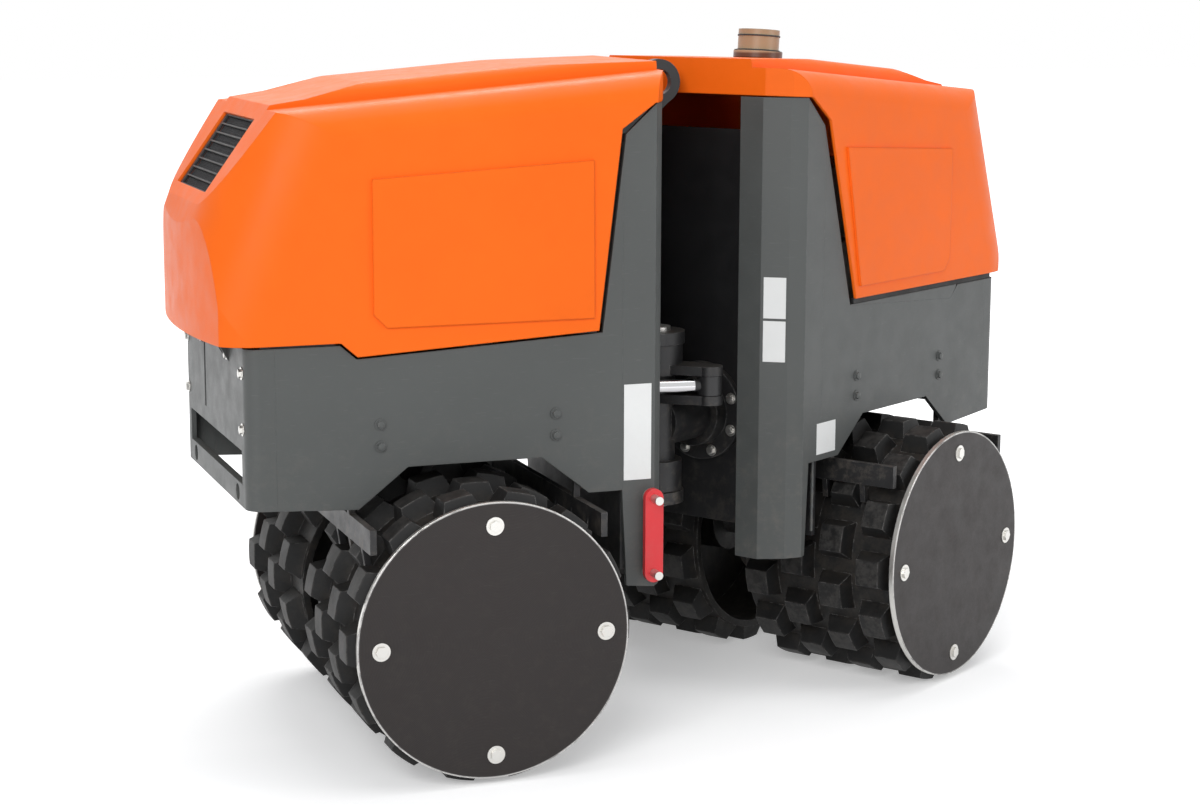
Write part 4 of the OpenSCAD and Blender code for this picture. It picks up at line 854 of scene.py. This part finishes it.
@piece("block_details", *FRONT_BAY, "cast")
def block_details(shape):
    """Cast ribs and flywheel housing bolts of the engine block."""
    for side in SIDES:
        inner = side * (BLOCK_HALF - 0.004)
        for x in RIB_X:
            for z0, z1 in RIB_Z:
                brick(shape, (x - RIB_HALF, side * (BLOCK_HALF + 0.004), z0), (x + RIB_HALF, inner, z1))
        brick(shape, (0.345, side * (BLOCK_HALF + 0.005), 0.846), (0.690, inner, 0.854))
    for y, z in around(10, HOUSING_R):
        hexbolt(shape, (HOUSING_X, y, HOUSING_Z + z), (-1, 0, 0), 0.006, 0.005)


@piece("radiator_trim", *FRONT_BAY, "black_plastic")
def radiator_trim(shape):
    """Filler cap and the end tanks' seams."""
    top = core_high.z
    stack(shape, (core_low.x + core_high.x) / 2, CAP_Y, (top - 0.004, top + 0.010, top + 0.018),
          (0.020, 32), (0.028, 12))
    for z in (core_low.z + 0.030, top - 0.060):
        brick(shape, (core_low.x + 0.002, core_low.y - 0.002, z),
              (core_high.x + 0.003, core_high.y + 0.002, z + 0.006))


@piece("radiator_fins", *FRONT_BAY, "core", smooth=False)
def fins(shape):
    face, top, bottom = core_high.x, core_high.z - 0.064, core_low.z + 0.040
    for i in range(UPRIGHT_FINS):
        y = core_low.y + 0.010 + (core_high.y - core_low.y - 0.020) * i / (UPRIGHT_FINS - 1)
        brick(shape, (face, y - 0.0006, bottom), (face + 0.0022, y + 0.0006, top))
    for i in range(LEVEL_FINS):
        z = bottom + (top - bottom) * i / (LEVEL_FINS - 1)
        brick(shape, (face, core_low.y + 0.008, z - 0.0012), (face + 0.0028, core_high.y - 0.008, z + 0.0012))


@piece("shroud_trim", *FRONT_BAY, "black_plastic")
def shroud_ring(shape):
    """Rolled lip round the fan and screws along the sides of the shroud."""
    face, radius = shroud_low.x, (fan_high.z - fan_low.z) / 2 + LIP_WIDER
    lip = [(face - 0.001, y, FAN_Z + z) for y, z in around(LIP_STEPS, radius)]
    for i, point in enumerate(lip):
        rod(shape, point, lip[(i + 1) % len(lip)], LIP_R, 8)
    for side in SIDES:
        for z in SHROUD_Z:
            hexbolt(shape, (face, side * SHROUD_Y, z), (-1, 0, 0), 0.006, 0.004)


x, top = core_low.x, core_high.z
tube("upper_coolant_hose", [
    (x + 0.022, 0.060, top - 0.010), (x + 0.015, 0.060, top + 0.010), (x - 0.025, 0.060, top + 0.018),
    (x - 0.075, 0.058, top - 0.002), (0.690, 0.052, 1.036), (0.668, 0.050, 0.995)],
     0.017, *FRONT_BAY, "rubber")
tube("battery_lead", [
    (WALL_X + 0.012, 0.205, 0.660), (0.230, 0.205, 0.664), (0.330, 0.200, 0.650), (0.470, 0.190, 0.648),
    (0.560, 0.176, 0.690), (0.628, 0.150, 0.780)], 0.0055, *FRONT_BAY, "rubber")


@piece("hose_unions", *FRONT_BAY, "zinc")
def hose_ends(shape):
    """Crimped unions of the pressure hoses at the pump and at the cross wall."""
    for x in (hoses_high.x - 0.051, hoses_high.x - 0.011):
        stack(shape, x, 0, (pump_top - 0.004, pump_top + 0.014, pump_top + 0.044), (0.018, 6), (0.0145, 32))
    for z in (hoses_low.z + 0.078, hoses_high.z - 0.011):
        rod(shape, (WALL_X + 0.0102, 0, z), (WALL_X + 0.026, 0, z), 0.018, 6)
        rod(shape, (WALL_X + 0.026, 0, z), (WALL_X + 0.054, 0, z), 0.0145)


# ---------------- tanks, valves and controls, under the rear hood
cell_low, cell_high = span("battery", REAR)
fuel_low, fuel_high = span("fuel_tank", REAR)
oil_low, oil_high = span("hydraulic_tank", REAR)
valve_low, valve_high = span("valve_block", REAR)
case_low, case_high = span("control_box", REAR)
LID_Z, CELLS, TERMINAL_Y = cell_high.z - 0.0125, 6, cell_high.y - 0.025
FUEL_TOP = FLOOR_Z + 0.418
STRAP_Y, STRAP_HALF, STRAP_T = (-0.150, 0.020), 0.015, 0.0022
SENDER_Y, OIL_CAPS_Y = -0.070, 0.165
COILS_Y = [-0.090 + 0.060 * k for k in range(4)]
COILS_Z, COIL_L, COIL_R = (valve_low.z + valve_high.z - 0.014) / 2, 0.020, 0.019
NUT_END, NUT_R = 0.026, 0.009
PORT_X = valve_low.x + 0.045
PLUG_X, PLUGS_Y = case_high.x - 0.030, (-0.070, -0.020, 0.030)


@piece("battery_trim", *REAR_BAY, "rubber")
def battery_trim(shape):
    """Lid's rim, cell caps and hold-down bar of the battery."""
    x0, x1, y1, top = cell_low.x, cell_high.x, cell_high.y, LID_Z
    brick(shape, (x0 - 0.003, -y1 - 0.003, top - 0.034), (x1 + 0.003, y1 + 0.003, top - 0.028))
    for k in range(CELLS):
        y = -y1 + 0.030 + (2 * y1 - 0.060) * k / (CELLS - 1)
        stack(shape, x1 - 0.026, y, (top, top + 0.006), (0.011, 28))
    brick(shape, (x0 + 0.040, -y1 - 0.012, top), (x0 + 0.060, y1 + 0.012, top + 0.004))
    for side in SIDES:
        y = side * (y1 + 0.008)
        stack(shape, x0 + 0.050, y, (FLOOR_Z, top + 0.018), (0.004, 16))
        hexbolt(shape, (x0 + 0.050, y, top + 0.004), (0, 0, 1), 0.007, 0.006)


@piece("battery_terminals", *REAR_BAY, "steel")
def terminals(shape):
    x, top = cell_low.x, cell_high.z
    for side in SIDES:
        y = side * TERMINAL_Y
        brick(shape, (x + 0.010, y - 0.014, top - 0.004), (x + 0.040, y + 0.014, top + 0.010))
        hexbolt(shape, (x + 0.025, y, top + 0.010), (0, 0, 1), 0.006, 0.005)


for side, pole, finish in ((-1, "earth", "rubber"), (1, "live", "red_paint")):
    x, y, top = cell_low.x, side * TERMINAL_Y, cell_high.z
    tube("battery_cable_" + pole, [
        (x + 0.014, y, top + 0.004), (x - 0.006, y, top + 0.010), (x - 0.013, y + side * 0.020, top - 0.030),
        (x - 0.013, y + side * 0.045, FLOOR_Z + 0.080), (x - 0.013, y + side * 0.050, FLOOR_Z + 0.008)],
         0.006, *REAR_BAY, finish)


@piece("tank_straps", *REAR_BAY, "zinc")
def tank_straps(shape):
    """Two steel straps over the fuel tank with their tensioners."""
    x0, x1, foot, top = fuel_low.x, fuel_high.x, FLOOR_Z + 0.001, FUEL_TOP
    for y in STRAP_Y:
        for left, right, low in ((x0 - STRAP_T, x0, foot), (x1, x1 + STRAP_T, foot),
                                 (x0 - STRAP_T, x1 + STRAP_T, top)):
            brick(shape, (left, y - STRAP_HALF, low), (right, y + STRAP_HALF, top + STRAP_T))
        hexbolt(shape, (x0 + 0.030, y, top + 0.002), (0, 0, 1), 0.007, 0.010)


@piece("tank_trim", *REAR_BAY, "black_plastic")
def tank_trim(shape):
    """Sender plate of the fuel tank, filler cap and filter lid of the hydraulic tank."""
    def lid(x, y, foot, height, radius, circle, size):
        stack(shape, x, y, (foot, foot + height), (radius, 48))
        for dx, dy in around(6, circle):
            hexbolt(shape, (x + dx, y + dy, foot + height), (0, 0, 1), *size, washer=False)
    top = oil_high.z
    lid((fuel_low.x + fuel_high.x) / 2, SENDER_Y, FUEL_TOP, 0.005, 0.034, 0.026, (0.0035, 0.003))
    stack(shape, oil_low.x + 0.048, OIL_CAPS_Y, (top, top + 0.012, top + 0.040), (0.024, 40), (0.028, 14))
    lid(oil_low.x + 0.060, -OIL_CAPS_Y, top, 0.008, 0.040, 0.032, (0.004, 0.004))


@piece("valve_coils", *REAR_BAY, "black_plastic")
def coils(shape):
    """Four valve coils on each side of the valve block."""
    for side, x in zip(SIDES, (valve_low.x, valve_high.x)):
        for y in COILS_Y:
            rod(shape, (x, y, COILS_Z), (x + side * COIL_L, y, COILS_Z), COIL_R)


@piece("valve_nuts", *REAR_BAY, "zinc")
def coil_nuts(shape):
    """Nuts on the coils, and the unions on top of the valve block."""
    for y in COILS_Y:
        for side, x in zip(SIDES, (valve_low.x, valve_high.x)):
            rod(shape, (x + side * COIL_L, y, COILS_Z), (x + side * NUT_END, y, COILS_Z), NUT_R, 6)
        stack(shape, PORT_X, y, (valve_high.z, valve_high.z + 0.012), (0.016, 6))


for k, y in enumerate(COILS_Y):
    reach, top = 0.205 + 0.012 * k, valve_high.z
    tube(f"valve_hose_{k + 1}", [
        (PORT_X, y, top + 0.010), (PORT_X, y, top + 0.045), (valve_low.x + 0.020, y + 0.012, top + 0.078),
        (valve_low.x - 0.040, y + 0.055, top + 0.060), (WALL_X + 0.052, reach, top - 0.020),
        (WALL_X + 0.034, reach, oil_high.z - 0.080), (WALL_X + 0.030, reach - 0.004, FLOOR_Z + 0.120),
        (WALL_X + 0.012, reach - 0.004, FLOOR_Z + 0.060)], 0.009, *REAR_BAY, "rubber")


@piece("control_box_trim", *REAR_BAY, "black_plastic")
def case_trim(shape):
    """Lid with its screws and plug sockets of the control box."""
    x, low, high = case_high.x, case_low.z, case_high.z
    brick(shape, (x, case_low.y + 0.004, low + 0.004), (x + 0.003, case_high.y - 0.004, high - 0.004))
    for y in (case_low.y + 0.014, case_high.y - 0.014):
        for z in (low + 0.014, high - 0.014):
            rod(shape, (x + 0.003, y, z), (x + 0.006, y, z), 0.0045, 16)
    for y in PLUGS_Y:
        stack(shape, PLUG_X, y, (low - 0.026, low - 0.016, low), (0.010, 28), (0.014, 28))


for k, y in enumerate(PLUGS_Y):
    low = case_low.z
    tube(f"control_loom_{k + 1}", [
        (PLUG_X, y, low - 0.024), (PLUG_X - 0.002, y, low - 0.060), (WALL_X + 0.024, y - 0.050, low - 0.120),
        (WALL_X + 0.019, y - 0.085, FLOOR_Z + 0.130), (WALL_X + 0.019, y - 0.090, FLOOR_Z + 0.010)],
         0.007, *REAR_BAY, "rubber")


# ---------------- stage
PAPER = (0.90, 0.90, 0.90)
# The floor's glow: both distances, then its strength at each
GLOW, FLOOR_HALF = (1.4, 4.0, 0.34, 1.0), 30
# Colour and strength of the light from all sides, and of the background that rays from the camera see
SOFT, SEEN = ((0.94, 0.96, 1.0, 1), 0.34), ((1, 1, 1, 1), 1.0)
# Lamps: name, place, aim, power, width and height
LAMPS = (("key", (-3.2, -4.8, 3.6), (0, 0, 0.6), 185, 3.0, 2.4),
         ("fill", (4.8, -3.6, 2.4), (0.2, 0, 0.6), 80, 2.6, 2.6),
         ("top", (0, 0.2, 5.2), (0, 0, 0), 105, 4.5, 4.5),
         ("back", (0.5, 4.2, 5.0), (0, 0, 0.7), 105, 4.0, 2.0))


def seen_ray(nodes, links):
    """One for camera, glossy and transmission rays, which show the white background."""
    path = nodes.new("ShaderNodeLightPath")
    total = path.outputs["Is Camera Ray"]
    for ray in ("Is Glossy Ray", "Is Transmission Ray"):
        larger = nodes.new("ShaderNodeMath")
        larger.operation = "MAXIMUM"
        links.new(total, larger.inputs[0])
        links.new(path.outputs[ray], larger.inputs[1])
        total = larger.outputs[0]
    return total


def paper():
    """Matt white floor that keeps the shadow near the object and fades to plain white far from it."""
    t = Tree("paper")
    t.put(PAPER, t.bsdf.inputs["Base Color"])
    t.put(1.0, t.bsdf.inputs["Roughness"])
    t.put(0.0, t.bsdf.inputs["Specular IOR Level"])
    glow = t.nodes.new("ShaderNodeEmission")
    far = t.ramp(t.vector("LENGTH", t.place), *GLOW)
    t.put(t.times(far, seen_ray(t.nodes, t.links)), glow.inputs["Strength"])
    both = t.nodes.new("ShaderNodeAddShader")
    t.links.new(t.bsdf.outputs[0], both.inputs[0])
    t.links.new(glow.outputs[0], both.inputs[1])
    t.links.new(both.outputs[0], t.out.inputs[0])
    return t.material


floor_mesh = bpy.data.meshes.new("floor")
corners = [(x * FLOOR_HALF, y * FLOOR_HALF, 0) for x, y in ((-1, -1), (1, -1), (1, 1), (-1, 1))]
floor_mesh.from_pydata(corners, [], [(0, 1, 2, 3)])
floor = bpy.data.objects.new("floor", floor_mesh)
scene.collection.objects.link(floor)
floor_mesh.materials.append(paper())

for name, place, aim, power, width, height in LAMPS:
    light = bpy.data.lights.new(name, "AREA")
    light.shape = "RECTANGLE"
    light.size, light.size_y, light.energy = width, height, power
    lamp = bpy.data.objects.new(name, light)
    lamp.location = place
    lamp.rotation_euler = (Vector(aim) - Vector(place)).to_track_quat("-Z", "Y").to_euler()
    scene.collection.objects.link(lamp)

world = bpy.data.worlds.new("studio")
scene.world = world
world.use_nodes = True
world_nodes, world_links = world.node_tree.nodes, world.node_tree.links
world_nodes.clear()
either = world_nodes.new("ShaderNodeMixShader")
world_links.new(seen_ray(world_nodes, world_links), either.inputs[0])
for socket, (colour, strength) in enumerate((SOFT, SEEN), 1):
    background = world_nodes.new("ShaderNodeBackground")
    background.inputs[0].default_value = colour
    background.inputs[1].default_value = strength
    world_links.new(background.outputs[0], either.inputs[socket])
world_links.new(either.outputs[0], world_nodes.new("ShaderNodeOutputWorld").inputs[0])

scene.view_settings.view_transform = "Standard"

# Camera from the fit of the photo; the focal length is in pixels of a picture 1200 wide
AZIMUTH, ELEVATION, ROLL = (math.radians(angle) for angle in (-20.465, 9.984, 0.187))
DISTANCE, TARGET = 4.4905, axis_foot + Vector((-0.19051, -0.20, 0.64107))
FOCAL_PIXELS, PICTURE_WIDTH, SENSOR_WIDTH = 2401.10, 1200, 36
back = Vector((math.sin(AZIMUTH) * math.cos(ELEVATION), -math.cos(AZIMUTH) * math.cos(ELEVATION),
               math.sin(ELEVATION)))
right = (-back).cross(Vector((0, 0, 1))).normalized()
up = right.cross(-back)
right, up = right * math.cos(ROLL) + up * math.sin(ROLL), up * math.cos(ROLL) - right * math.sin(ROLL)
lens = bpy.data.cameras.new("camera")
lens.sensor_fit = "HORIZONTAL"
lens.sensor_width = SENSOR_WIDTH
lens.lens = FOCAL_PIXELS * SENSOR_WIDTH / PICTURE_WIDTH
camera = bpy.data.objects.new("camera", lens)
facing = Matrix((right, up, back)).transposed().to_4x4()
camera.matrix_world = move(TARGET + back * DISTANCE) @ facing
scene.collection.objects.link(camera)
scene.camera = camera
